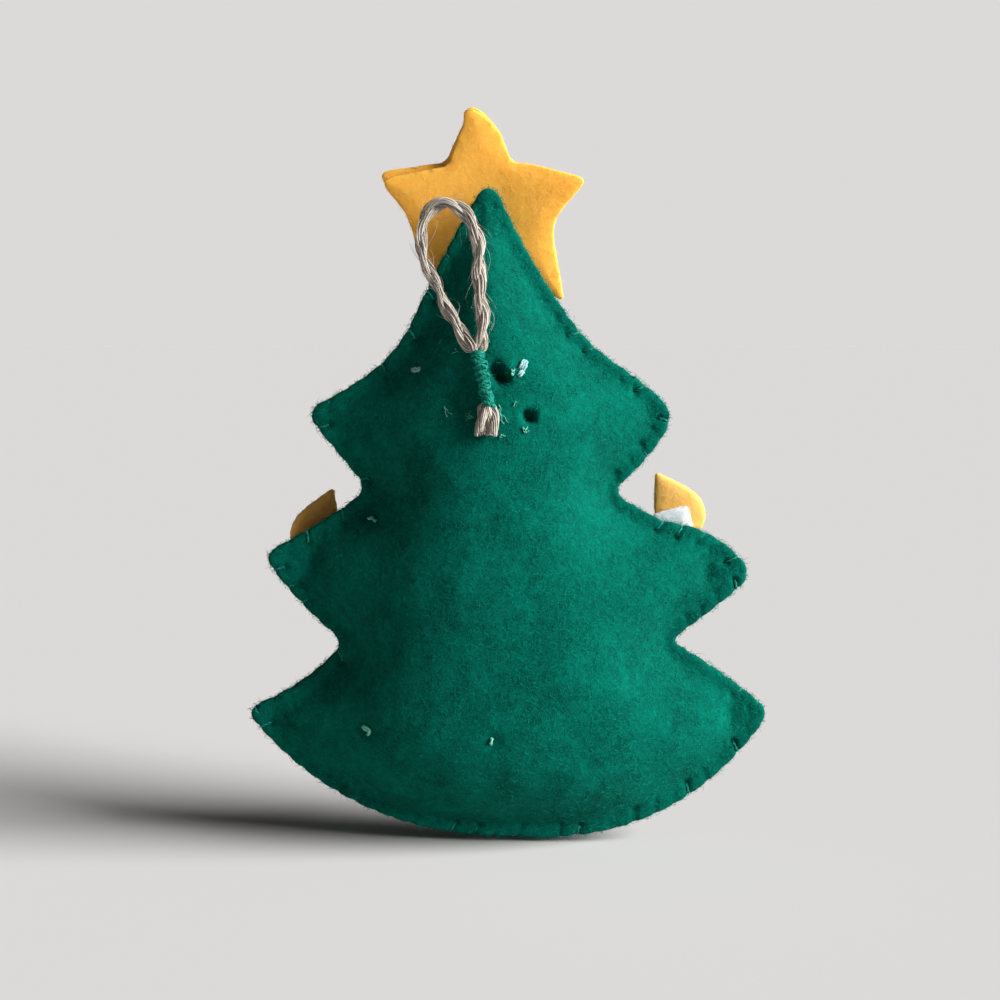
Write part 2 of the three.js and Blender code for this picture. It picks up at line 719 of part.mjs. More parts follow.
addPart("star_back_layer", cutFelt(starCut).applyMatrix4(starPlace), "yellow_felt");
const starFront = cutFelt(starCut);
starFront.translate(STAR_LAYER_SHIFT.x, FELT + CLEARANCE, STAR_LAYER_SHIFT.z);
addPart("star_front_layer", starFront.applyMatrix4(starPlace), "yellow_felt");

// Candle and flame outlines, with the middle of the candle's upper end at zero
function candleOutline() {
  const half = CANDLE_WIDTH / 2;
  const corners = [
    { x: -half, z: 0, round: CANDLE_ROUND },
    { x: half, z: 0, round: CANDLE_ROUND },
    { x: half, z: -CANDLE_LENGTH, round: CANDLE_ROUND },
    { x: -half, z: -CANDLE_LENGTH, round: CANDLE_ROUND },
  ];
  return cutCurves(corners).flatMap(({ curve, corner }) =>
    curve.getPoints(corner ? CANDLE_CORNER_STEPS : CANDLE_EDGE_STEPS).slice(0, -1),
  );
}

function flameOutline(turn) {
  const half = FLAME_WIDTH / 2;
  const belly = FLAME_LENGTH * FLAME_BELLY;
  const foot = half * FLAME_CURVE.foot;
  const below = belly * FLAME_CURVE.below;
  const above = belly * FLAME_CURVE.above;
  const tipHalf = half * FLAME_CURVE.tipHalf;
  const tipHeight = FLAME_LENGTH * FLAME_CURVE.tipHeight;
  const shape = new THREE.Shape();
  shape.moveTo(0, 0);
  shape.bezierCurveTo(foot, 0, half, below, half, belly);
  shape.bezierCurveTo(half, above, tipHalf, tipHeight, 0, FLAME_LENGTH);
  shape.bezierCurveTo(-tipHalf, tipHeight, -half, above, -half, belly);
  shape.bezierCurveTo(-half, below, -foot, 0, 0, 0);
  const angle = -THREE.MathUtils.degToRad(turn);
  const middle = new THREE.Vector2(0, 0);
  return shape
    .getPoints(FLAME_STEPS)
    .slice(0, -1)
    .map((p) => new THREE.Vector2(p.x, p.y - FLAME_OVERLAP).rotateAround(middle, angle));
}

// Plane of a candle: up along the ground from its foot to its top, and level with the ground across it
function candlePlace(candle) {
  const turn = THREE.MathUtils.degToRad(candle.lean);
  const up = new THREE.Vector2(Math.sin(turn), Math.cos(turn));
  const across = new THREE.Vector2(up.y, -up.x);
  const top = new THREE.Vector2(candle.x, candle.z);
  const foot = top.clone().addScaledVector(up, -CANDLE_LENGTH);
  const middle = top.clone().lerp(foot, 0.5);
  const right = middle.clone().addScaledVector(across, CANDLE_WIDTH / 2);
  const left = middle.clone().addScaledVector(across, -CANDLE_WIDTH / 2);
  const lengthwise = candle.follow * (frontGround(top.x, top.y) - frontGround(foot.x, foot.y));
  const crosswise = candle.follow * (frontGround(right.x, right.y) - frontGround(left.x, left.y));
  const along = new THREE.Vector3(up.x * CANDLE_LENGTH, lengthwise, up.y * CANDLE_LENGTH).normalize();
  const over = new THREE.Vector3(across.x * CANDLE_WIDTH, crosswise, across.y * CANDLE_WIDTH);
  const outward = along.clone().cross(over).normalize();
  const sideways = outward.clone().cross(along);
  return new THREE.Matrix4().makeBasis(sideways, outward, along).setPosition(candle.x, 0, candle.z);
}

const candleCut = candleOutline();
CANDLES.forEach((candle) => {
  const place = candlePlace(candle);
  const flameCut = flameOutline(candle.flameLean - candle.lean);
  const seat = seatOf(candleCut, new THREE.Vector2(0, -CANDLE_LENGTH / 2), place);
  place.setPosition(candle.x, seat, candle.z);
  const flame = cutFelt(flameCut);
  flame.translate(0, FELT + CLEARANCE, 0);
  addPart(`candle_${candle.name}`, cutFelt(candleCut).applyMatrix4(place), "white_felt");
  addPart(`flame_${candle.name}`, flame.applyMatrix4(place), "yellow_felt");
});

// Tacks: short stitches of thread that lie on the back
TACKS.forEach((tack) => {
  const geometry = new THREE.CapsuleGeometry(TACK_THREAD / 2, tack.length, TACK_END_STEPS, TACK_SIDES);
  const { alongX, alongZ } = slopes(backFace, tack.x, tack.z);
  const outward = new THREE.Vector3(-alongX, -1, -alongZ).normalize();
  const turn = THREE.MathUtils.degToRad(tack.turn);
  const along = new THREE.Vector3(Math.cos(turn), 0, Math.sin(turn));
  along.addScaledVector(outward, -along.dot(outward)).normalize();
  geometry.applyQuaternion(new THREE.Quaternion().setFromUnitVectors(new THREE.Vector3(0, 1, 0), along));
  const seat = new THREE.Vector3(tack.x, -backFace(tack.x, tack.z), tack.z);
  seat.addScaledVector(outward, CLEARANCE + TACK_THREAD / 2);
  geometry.translate(seat.x, seat.y, seat.z);
  addPart(tack.name, geometry, tack.color);
});

const stitchGap = leastSelfGap(stitchPath, STITCH_THREAD, STITCH_OWN_REACH, true);
const lashingGap = leastSelfGap(lashingPath, LASHING_THREAD, LASHING_OWN_REACH, false);
console.log("least gap of the stitching thread to itself", stitchGap.toFixed(2));
console.log("least gap of the lashing thread to itself", lashingGap.toFixed(2));

// The hanging point is the underside of the twine at the top of the loop
const crown = loopPath.reduce((best, p) => (p.z > best.z ? p : best));
tree.position.set(-crown.x, -crown.y, -(crown.z - TWINE / 2));

export default tree;
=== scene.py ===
# %% [markdown]
# # A stuffed felt tree with a twine loop
# A small tree is sewn from two sheets of green felt and stuffed. A felt star and felt candles sit on its
# front, and a loop of jute twine is lashed to its back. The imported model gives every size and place. This
# script replaces each soft solid by a piece with real cut edges, stitches, plies and fuzz.

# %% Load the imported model
import math
from contextlib import contextmanager

import bmesh
import bpy
import numpy as np
from mathutils import Matrix, Vector, noise
from mathutils.bvhtree import BVHTree
from mathutils.kdtree import KDTree


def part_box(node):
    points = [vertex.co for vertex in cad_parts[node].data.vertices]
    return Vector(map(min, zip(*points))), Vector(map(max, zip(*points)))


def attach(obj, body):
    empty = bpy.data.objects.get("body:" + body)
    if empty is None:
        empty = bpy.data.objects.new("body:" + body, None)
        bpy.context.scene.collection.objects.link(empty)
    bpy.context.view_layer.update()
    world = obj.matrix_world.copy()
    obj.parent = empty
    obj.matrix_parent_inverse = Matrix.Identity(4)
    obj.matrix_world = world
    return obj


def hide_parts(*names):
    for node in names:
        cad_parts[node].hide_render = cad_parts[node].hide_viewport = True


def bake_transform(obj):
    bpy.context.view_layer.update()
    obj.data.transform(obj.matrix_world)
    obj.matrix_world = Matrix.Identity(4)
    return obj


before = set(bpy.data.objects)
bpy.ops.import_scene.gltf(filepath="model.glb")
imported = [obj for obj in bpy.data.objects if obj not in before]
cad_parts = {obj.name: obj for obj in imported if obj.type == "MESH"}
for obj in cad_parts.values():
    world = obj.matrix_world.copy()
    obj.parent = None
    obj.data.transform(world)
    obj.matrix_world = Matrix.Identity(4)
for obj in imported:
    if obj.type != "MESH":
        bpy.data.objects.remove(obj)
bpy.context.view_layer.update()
scene = bpy.context.scene
scene.view_settings.view_transform = "Standard"

# %% [markdown]
# Pieces are drawn in millimetres: x to the right as seen from the back, z up from the hem, and y from the
# seam between the two sheets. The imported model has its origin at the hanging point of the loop, so one
# matrix carries a drawn mesh to its place in metres.

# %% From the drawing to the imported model
MM = 0.001
HANGING_POINT = Vector((-8.4, -8.4, 96.7))
TO_MODEL = Matrix.Scale(MM, 4) @ Matrix.Translation(-HANGING_POINT)
finishes = {}


def model_point(x, y, z):
    return TO_MODEL @ Vector((x, y, z))


def new_object(name, data):
    made = bpy.data.objects.new(name, data)
    scene.collection.objects.link(made)
    return made


def add_piece(name, mesh, finish):
    """A drawn mesh as a finished object in the model's frame."""
    mesh.name = name
    mesh.transform(TO_MODEL)
    mesh.materials.clear()
    mesh.materials.append(finishes[finish])
    mesh.shade_smooth()
    print(name, len(mesh.polygons), "faces")
    return new_object(name, mesh)


def sewn_on(piece, slot, *nodes):
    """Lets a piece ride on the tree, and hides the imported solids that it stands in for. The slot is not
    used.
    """
    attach(piece, "ornament")
    if nodes:
        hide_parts(*nodes)


def baked(carrier):
    """The mesh of an object with its modifiers or bevel applied. The object itself is removed."""
    bpy.context.view_layer.update()
    graph = bpy.context.evaluated_depsgraph_get()
    mesh = bpy.data.meshes.new_from_object(carrier.evaluated_get(graph))
    bpy.data.objects.remove(carrier)
    return mesh


@contextmanager
def reshaping(mesh):
    """Opens a mesh for editing, and puts the result back."""
    shape = bmesh.new()
    shape.from_mesh(mesh)
    yield shape
    shape.to_mesh(mesh)
    shape.free()


# %% Helpers for numbers
def unit(vectors):
    """The same directions at length one."""
    return vectors / np.linalg.norm(vectors, axis=-1, keepdims=True)


def pointing(angle):
    """A direction in the drawing, at an angle from x."""
    return np.array((math.cos(angle), math.sin(angle)))


def bell(offset, reach):
    """1 in the middle, and next to nothing beyond twice the reach."""
    return np.exp(-((offset / reach) ** 2))


def smooth_step(value, low, high):
    share = np.clip((value - low) / (high - low), 0, 1)
    return share * share * (3 - 2 * share)


# %% [markdown]
# Floor, light and finishes are shader nodes. An input of a node is a plain value or the output of another
# node.


# %% Node helpers
def fill_in(tree, node, inputs):
    """Sets inputs of a node, each to a value or to the output of another node."""
    for socket, value in inputs.items():
        if isinstance(value, bpy.types.NodeSocket):
            tree.links.new(value, node.inputs[socket])
        else:
            node.inputs[socket].default_value = value


def add_node(tree, kind, inputs=None, **settings):
    node = tree.nodes.new("ShaderNode" + kind)
    for name, setting in settings.items():
        setattr(node, name, setting)
    fill_in(tree, node, inputs or {})
    return node


def calc(tree, operation, first, second):
    return add_node(tree, "Math", {0: first, 1: second}, operation=operation).outputs[0]


def new_material(name):
    material = bpy.data.materials.new(name)
    material.use_nodes = True
    tree = material.node_tree
    return material, tree, tree.nodes["Principled BSDF"]


# %% [markdown]
# ## Camera, floor and light
# The photograph looks at the back of the tree from nearby and a little from above. A lens of 65 mm gives
# the same slight swelling of the near middle. One soft distant lamp shines from the upper right, and pale
# surroundings fill the shadows. How bright the camera sees them is set apart from how much they light, so
# that the floor runs into the backdrop without a line.

# %% Camera
LENS = 65.0
SENSOR = 36.0
VIEW_WIDTH = 155.5
VIEW_MIDDLE = (0.0, 0.0, 52.6)
CAMERA_LIFT = math.radians(5)
CLIP_START = 0.01

camera_data = bpy.data.cameras.new("camera")
camera_data.lens = LENS
camera_data.sensor_width = SENSOR
camera = new_object("camera", camera_data)
towards_camera = Vector((0, -math.cos(CAMERA_LIFT), math.sin(CAMERA_LIFT)))
aim = model_point(*VIEW_MIDDLE)
camera.location = aim + towards_camera * VIEW_WIDTH * LENS / SENSOR * MM
camera.rotation_euler = (-towards_camera).to_track_quat("-Z", "Y").to_euler()
camera_data.clip_start = CLIP_START
scene.camera = camera
print("camera", [round(c, 3) for c in camera.location])

# %% Floor and surroundings
FLOOR_HEIGHT = -1.35
FLOOR_REACH = 30.0
PALE = (0.60, 0.585, 0.58, 1)
FILL_STRENGTH = 0.05
BACKDROP_STRENGTH = 1.193

floor_mesh = bpy.data.meshes.new("floor")
with reshaping(floor_mesh) as grid:
    bmesh.ops.create_grid(grid, x_segments=1, y_segments=1, size=FLOOR_REACH)
    bmesh.ops.translate(grid, vec=model_point(0, 0, FLOOR_HEIGHT), verts=grid.verts)
floor = new_object("floor", floor_mesh)
floor_paint, paint_tree, paint = new_material("pale_floor")
fill_in(paint_tree, paint, {"Base Color": PALE, "Roughness": 0.9, "Specular IOR Level": 0.0})
floor_mesh.materials.append(floor_paint)

world = bpy.data.worlds.new("surroundings")
scene.world = world
world.use_nodes = True
sky = world.node_tree
fill = sky.nodes["Background"]
fill_in(sky, fill, {"Color": (1, 1, 1, 1), "Strength": FILL_STRENGTH})
backdrop = add_node(sky, "Background", {"Color": PALE, "Strength": BACKDROP_STRENGTH})
ray = add_node(sky, "LightPath").outputs
seen = calc(sky, "MAXIMUM", ray["Is Camera Ray"], ray["Is Glossy Ray"])
seen = calc(sky, "MAXIMUM", seen, ray["Is Transmission Ray"])
switch = add_node(sky, "MixShader", {0: seen, 1: fill.outputs[0], 2: backdrop.outputs[0]})
fill_in(sky, sky.nodes["World Output"], {"Surface": switch.outputs[0]})
print("floor at", FLOOR_HEIGHT, "mm")

# %% Lamp
LAMP_TOWARDS = Vector((0.88, -0.27, 0.40))
LAMP_STRENGTH = 9.0
LAMP_SPREAD = math.radians(36)

lamp_data = bpy.data.lights.new("window", "SUN")
lamp_data.energy = LAMP_STRENGTH
lamp_data.angle = LAMP_SPREAD
lamp = new_object("window", lamp_data)
lamp.location = aim + LAMP_TOWARDS
lamp.rotation_euler = LAMP_TOWARDS.to_track_quat("Z", "Y").to_euler()
print("lamp", [round(c, 2) for c in lamp.location])

# %% [markdown]
# ## Finishes
# Felt is a mat of pressed wool: its colour is cloudy, and single fibres lie over it in all directions. The
# fibres come from the level lines of a warped noise, which are thin curls, and they also raise the bump.
# Thread and jute have streaks, and the tone of each strand comes from an attribute that it carries.


# %% Textures
def drawn_place(tree):
    """Object coordinates in millimetres."""
    place = add_node(tree, "TexCoord").outputs["Object"]
    return add_node(tree, "VectorMath", {0: place, "Scale": 1 / MM}, operation="SCALE").outputs["Vector"]


def cloudy(tree, place, per_mm, detail, warp, rough=0.55):
    inputs = {"Vector": place, "Scale": per_mm, "Detail": detail, "Roughness": rough, "Distortion": warp}
    return add_node(tree, "TexNoise", inputs).outputs["Fac"]


def ramp(tree, value, low, high, to_low=0.0, to_high=1.0):
    inputs = {"Value": value, "From Min": low, "From Max": high, "To Min": to_low, "To Max": to_high}
    return add_node(tree, "MapRange", inputs, interpolation_type="SMOOTHSTEP").outputs["Result"]


def blended(tree, first, second, first_share):
    """Two values added up by their shares."""
    first_part = calc(tree, "MULTIPLY", first, first_share)
    return calc(tree, "ADD", first_part, calc(tree, "MULTIPLY", second, 1 - first_share))


def tint(tree, share, first, second):
    """A colour between two."""
    return add_node(tree, "Mix", {"Factor": share, 6: first, 7: second}, data_type="RGBA").outputs[2]


def bump(tree, shader, height, depth_mm, strength):
    inputs = {"Height": height, "Distance": depth_mm * MM, "Strength": strength}
    fill_in(tree, shader, {"Normal": add_node(tree, "Bump", inputs).outputs["Normal"]})


# %% Felt
# Noise for clouds and clumps: scale per millimetre, detail, warp and roughness, then the levels of its ramp
CLOUDS = ((0.16, 4, 0.4), (0.34, 0.66))
CLUMPS = ((0.9, 6, 0.8, 0.65), (0.32, 0.68))
CLOUD_SHARE = 0.45
# Noise and width of each layer of fibres
FIBRE_LINES = (((1.1, 2, 2.6, 0.5), 0.020), ((1.9, 2, 3.2, 0.5), 0.026), ((0.6, 2, 2.0, 0.5), 0.011))
FIBRE_LEVEL = 0.5
FIBRE_TINT = 0.5
FIBRE_HEIGHT = 0.6
FELT_BUMP = 0.55
FELT_FINISH = {
    "Roughness": 0.95,
    "Specular IOR Level": 0.04,
    "Sheen Roughness": 0.55,
    "Subsurface Radius": (1.0, 0.7, 0.4),
    "Subsurface Scale": 1.6 * MM,
}
# Deep, middle and pale colour, then sheen, depth of the grain in millimetres, and glow
FELTS = {
    "green_felt": ((0.000, 0.039, 0.025), (0.000, 0.122, 0.081), (0.000, 0.28, 0.205), 0.06, 0.16, 0.0),
    "yellow_felt": ((0.98, 0.44, 0.056), (1.00, 0.50, 0.080), (1.00, 0.60, 0.14), 0.14, 0.025, 0.35),
    "flame_felt": ((0.98, 0.51, 0.110), (1.00, 0.59, 0.165), (1.00, 0.68, 0.25), 0.14, 0.04, 0.35),
    "white_felt": ((0.74, 0.80, 0.86), (0.84, 0.89, 0.93), (0.94, 0.96, 0.97), 0.15, 0.05, 0.35),
}


def felt(name, deep, middle, pale, sheen, grain_depth, glow):
    material, tree, shader = new_material(name)
    deep, middle, pale = ((*colour, 1) for colour in (deep, middle, pale))
    place = drawn_place(tree)
    clouds, clumps = (ramp(tree, cloudy(tree, place, *kind), *levels) for kind, levels in (CLOUDS, CLUMPS))
    fibres = 0.0
    for kind, width in FIBRE_LINES:
        level = calc(tree, "SUBTRACT", cloudy(tree, place, *kind), FIBRE_LEVEL)
        line = ramp(tree, calc(tree, "ABSOLUTE", level, 0.0), 0.0, width, 1.0, 0.0)
        fibres = calc(tree, "MAXIMUM", fibres, line)
    ground = tint(tree, blended(tree, clouds, clumps, CLOUD_SHARE), deep, middle)
    hairy = tint(tree, calc(tree, "MULTIPLY", fibres, FIBRE_TINT), ground, pale)
    grain = calc(tree, "ADD", clumps, calc(tree, "MULTIPLY", fibres, FIBRE_HEIGHT))
    bump(tree, shader, grain, grain_depth, FELT_BUMP)
    looks = {"Base Color": hairy, "Sheen Weight": sheen, "Sheen Tint": pale, "Subsurface Weight": glow}
    fill_in(tree, shader, {**FELT_FINISH, **looks})
    return material


for name, recipe in FELTS.items():
    finishes[name] = felt(name, *recipe)
print("felts", sorted(finishes))

# %% Thread, jute and loose fibres
STREAKS = (3.5, 4, 0.5, 0.6)
STREAK_LEVELS = (0.3, 0.7)
STREAK_DEPTH = 0.05
STREAK_BUMP = 0.5
SHADE_SHARE = 0.65
# Deep and pale colour, then sheen, roughness and shine
THREADS = {
    # The pale tone of green_thread is partly the thread's own random tone and partly painted highlight: its
    # few pale strands are painted glints.
    "green_thread": ((0.000, 0.095, 0.062), (0.012, 0.30, 0.22), 0.06, 0.75, 0.15),
    "white_thread": ((0.22, 0.40, 0.41), (0.32, 0.53, 0.54), 0.08, 0.9, 0.05),
    "pale_thread": ((0.05, 0.36, 0.26), (0.24, 0.62, 0.48), 0.1, 0.7, 0.25),
    "jute": ((0.29, 0.25, 0.205), (0.60, 0.55, 0.485), 0.1, 0.95, 0.02),
    "fibre_fill": ((0.72, 0.71, 0.68), (0.92, 0.91, 0.88), 0.2, 0.7, 0.25),
    "green_wool": ((0.000, 0.105, 0.068), (0.004, 0.30, 0.22), 0.04, 0.9, 0.04),
    "yellow_wool": ((0.94, 0.47, 0.065), (1.00, 0.60, 0.14), 0.1, 0.9, 0.04),
    "flame_wool": ((0.96, 0.54, 0.14), (1.00, 0.68, 0.26), 0.1, 0.9, 0.04),
    "white_wool": ((0.70, 0.77, 0.82), (0.88, 0.92, 0.95), 0.1, 0.9, 0.04),
}


def strands(name, deep, pale, sheen, rough, shine):
    """Finish of threads: the tone of each strand is its shade attribute, with streaks from fine noise."""
    material, tree, shader = new_material(name)
    deep, pale = ((*colour, 1) for colour in (deep, pale))
    shade = add_node(tree, "Attribute", attribute_name="shade").outputs["Fac"]
    streaks = ramp(tree, cloudy(tree, drawn_place(tree), *STREAKS), *STREAK_LEVELS)
    colour = tint(tree, blended(tree, shade, streaks, SHADE_SHARE), deep, pale)
    bump(tree, shader, streaks, STREAK_DEPTH, STREAK_BUMP)
    looks = {"Base Color": colour, "Roughness": rough, "Specular IOR Level": shine}
    fill_in(tree, shader, {**looks, "Sheen Weight": sheen, "Sheen Tint": pale})
    return material


for name, recipe in THREADS.items():
    finishes[name] = strands(name, *recipe)
print("finishes", len(finishes))

# %% [markdown]
# ## Threads along a path
# Twine, thread and fuzz are bundles of round strands. A curve with a bevel sweeps a circle along any list
# of points, and one curve object can hold thousands of such splines. It is turned into a mesh at once, with
# each strand's tone as an attribute.

# %% Sweep and twist
STRAND_CAP = 0.1
# Skews the random tones towards the deep colour, so that few strands are pale; on the green thread these few
# pale strands are painted glints.
TONE_SKEW = 1.5
MERGE_DISTANCE = 1e-5
CURVE_STEPS = 12
ANY_WAY = (0.31, 0.72, 0.45)
ANY_PHASE = (0, 6)


def closed_strand(path, radius):
    """Path and radii with one more point at each end, where the strand closes."""
    before = path[0] + STRAND_CAP * (path[0] - path[1])
    after = path[-1] + STRAND_CAP * (path[-1] - path[-2])
    radii = np.concatenate([[0], np.broadcast_to(radius, len(path)), [0]])
    return np.concatenate([[before], path, [after]]), radii


def set_shade(mesh, tones):
    """Gives each point the tone that the finish of threads reads."""
    shade = mesh.attributes.new("shade", "FLOAT", "POINT")
    shade.data.foreach_set("value", tones.astype(np.float32))


def sweep(strands_in, ring, seed):
    """One mesh of strands, each a path with radii that end in zero. Ring 0 gives 4 sides, ring 1 gives 6."""
    curve = bpy.data.curves.new("strands", "CURVE")
    curve.dimensions = "3D"
    curve.bevel_depth = 1.0
    curve.bevel_resolution = ring
    for path, radius in strands_in:
        spline = curve.splines.new("POLY")
        spline.points.add(len(path) - 1)
        spline.points.foreach_set("co", np.c_[path, np.ones(len(path))].ravel())
        spline.points.foreach_set("radius", np.asarray(radius, float))
    mesh = baked(new_object("strands", curve))
    bpy.data.curves.remove(curve)
    points = [len(path) * (4 + 2 * ring) for path, _ in strands_in]
    tones = np.random.default_rng(seed).random(len(strands_in)) ** TONE_SKEW
    set_shade(mesh, np.repeat(tones, points))
    with reshaping(mesh) as shape:
        bmesh.ops.remove_doubles(shape, verts=shape.verts, dist=MERGE_DISTANCE)
    return mesh


def run_lengths(path):
    """How far along a path each of its points lies."""
    return np.concatenate([[0], np.cumsum(np.linalg.norm(np.diff(path, axis=0), axis=1))])


def points_at(path, places):
    """The points that lie so far along a path."""
    along = run_lengths(path)
    return np.stack([np.interp(places, along, column) for column in path.T], axis=1)


def smooth_path(points, spacing):
    """Evenly spaced points on a smooth curve through the given ones."""
    points = np.asarray(points, float)
    ends = np.concatenate([2 * points[:1] - points[1:2], points, 2 * points[-1:] - points[-2:-1]])
    steps = np.linspace(0, 1, CURVE_STEPS, endpoint=False)[:, None]
    fine = []
    for a, b, c, d in zip(ends, ends[1:], ends[2:], ends[3:]):
        bend = 2 * a - 5 * b + 4 * c - d
        twist = 3 * (b - c) + d - a
        fine.append(b + steps * ((c - a) + steps * (bend + steps * twist)) / 2)
    fine = np.concatenate([*fine, points[-1:]])
    length = run_lengths(fine)[-1]
    return points_at(fine, np.linspace(0, length, max(2, round(length / spacing) + 1)))


def carried_frame(path):
    """Two directions across a path at each point, carried along it without twist."""
    ahead = unit(np.gradient(path, axis=0))
    first = np.empty_like(path)
    first[0] = unit(np.cross(ahead[0], ANY_WAY))
    for i in range(1, len(path)):
        first[i] = unit(first[i - 1] - ahead[i] * np.dot(first[i - 1], ahead[i]))
    return first, np.cross(ahead, first)


def twisted(path, offset, lay, count, phase=0.0):
    """Paths of plies that run round a path, one turn per lay. Offset is a number or a list along the path."""
    first, second = carried_frame(path)
    along = run_lengths(path)
    out = np.broadcast_to(offset, len(path))[:, None]
    plies = []
    for k in range(count):
        turn = (2 * math.pi * (along / lay + k / count) + phase)[:, None]
        plies.append(path + out * (np.cos(turn) * first + np.sin(turn) * second))
    return plies


def thread(path, offset, radius, lay, plies, phase=0.0):
    """Closed strands of a thread. Its recipe is the offset, radius, lay and number of its plies."""
    return [closed_strand(ply, radius) for ply in twisted(path, offset, lay, plies, phase)]


# %% [markdown]
# ## The twine loop
# The loop is one piece of two-millimetre jute twine. Both cut ends lie side by side on the back of the
# tree, are squeezed together under the lashing, and run up into the free loop. The twine has two plies, and
# each ply is itself a twist of strands, which gives the streaks and the hairy outline as real geometry.

# %% Route of the twine
TWINE_STEP = 0.34
SQUEEZE_LOW = 68.2
SQUEEZE_HIGH = 75.55
# Both feet from the cut ends up: x of the left and of the right one, depth and z
FEET = [
    (-2.72, -1.08, 12.20, 63.3),
    (-2.70, -1.10, 12.15, 65.6),
    (-2.45, -1.35, 11.80, 67.2),
    (-2.00, -1.66, 11.40, 68.6),
    (-2.80, -2.44, 10.70, 72.0),
    (-3.90, -3.10, 10.30, 75.3),
    (-5.05, -2.85, 10.30, 77.3),
]
# The free loop between them: x, depth and z
LOOP = [
    (-6.7, 10.4, 80.2),
    (-8.1, 10.2, 82.3),
    (-9.1, 9.9, 84.7),
    (-10.5, 9.5, 87.4),
    (-11.5, 9.2, 90.1),
    (-11.8, 8.9, 92.6),
    (-11.3, 8.6, 95.0),
    (-10.1, 8.5, 96.8),
    (-8.4, 8.4, 97.7),
    (-6.6, 8.5, 97.3),
    (-5.1, 8.6, 95.9),
    (-4.0, 8.8, 94.1),
    (-3.3, 9.1, 91.9),
    (-3.1, 9.4, 89.4),
    (-3.1, 9.8, 86.4),
    (-2.9, 10.2, 83.4),
    (-2.5, 10.4, 80.9),
]
left_foot = [(left, depth, z) for left, _, depth, z in FEET]
right_foot = [(right, depth, z) for _, right, depth, z in reversed(FEET)]
twine_points = [(x, -depth, z) for x, depth, z in left_foot + LOOP + right_foot]
twine_path = smooth_path(twine_points, TWINE_STEP)

# %% Plies and strands of the twine
PLIES = 2
PLY_LAY = 10.5
PLY_OFFSET = 0.46
PLY_PHASE = 0.6
CORE_STRANDS = (5, 0.22)
SKIN_STRANDS = (12, 0.47)
STRAND_LAY = 14.0
STRAND_RADIUS = 0.145
STRAND_GIRTHS = (0.7, 1.15)
STRAND_UNREST = (0.9, 1.1)
END_TRIM = 3
SQUEEZED_SHARE = 0.26
EASE_LOW = 0.9
EASE_HIGH = 0.6
THIN_LIMB = 0.22
THIN_PLACE = 0.36
THIN_REACH = 0.12
FRAY_LENGTH = 2.2
FRAY_SPREAD = 0.25
WANDER_STEP = 0.020
WANDER_LIMIT = 0.15
WANDER_HELD = 0.85

draw = np.random.default_rng(11)
height = twine_path[:, 2]
inside = np.clip((height - SQUEEZE_LOW + EASE_LOW) / EASE_LOW, 0, 1)
inside *= np.clip((SQUEEZE_HIGH + EASE_HIGH - height) / EASE_HIGH, 0, 1)
girth = 1 - (1 - SQUEEZED_SHARE) * inside
along_share = np.linspace(0, 1, len(twine_path))
girth *= 1 - THIN_LIMB * bell(along_share - THIN_PLACE, THIN_REACH)
steps = np.arange(len(twine_path))
from_end = np.minimum(steps, steps[::-1]) * TWINE_STEP
fray = np.clip(1 - from_end / FRAY_LENGTH, 0, 1) ** 2
strand_paths = []
twine_strands = []
for ply in twisted(twine_path, PLY_OFFSET * girth, PLY_LAY, PLIES, PLY_PHASE):
    for count, offset in (CORE_STRANDS, SKIN_STRANDS):
        for strand in twisted(ply, offset * girth * (1 + FRAY_SPREAD * fray), -STRAND_LAY, count):
            wander = np.cumsum(draw.normal(0, WANDER_STEP, strand.shape), axis=0)
            wander -= along_share[:, None] * wander[-1]
            wander = np.clip(wander, -WANDER_LIMIT, WANDER_LIMIT) * (1 - WANDER_HELD * inside)[:, None]
            first = draw.integers(0, END_TRIM)
            last = len(strand) - draw.integers(0, END_TRIM)
            uneven = draw.uniform(*STRAND_UNREST, len(strand))
            thick = STRAND_RADIUS * draw.uniform(*STRAND_GIRTHS) * uneven * girth
            strand_paths.append((strand + wander)[first:last])
            twine_strands.append(closed_strand(strand_paths[-1], thick[first:last]))
twine = add_piece("jute_twine", sweep(twine_strands, ring=0, seed=3), "jute")

# %% Loose hairs of the twine
HAIRS = 1100
SHORT_SHARE = 0.8
HAIR_RADIUS = 0.036
HAIR_TAPER = 0.35
HAIR_GIRTHS = (0.6, 1.2)
# Steps along the twine: without hairs at its start and end, the last root, and the room beside the lashing
BARE_START = 8
BARE_END = 32
HAIR_END = 34
LASHING_ROOM = 3
HELD = 0.05
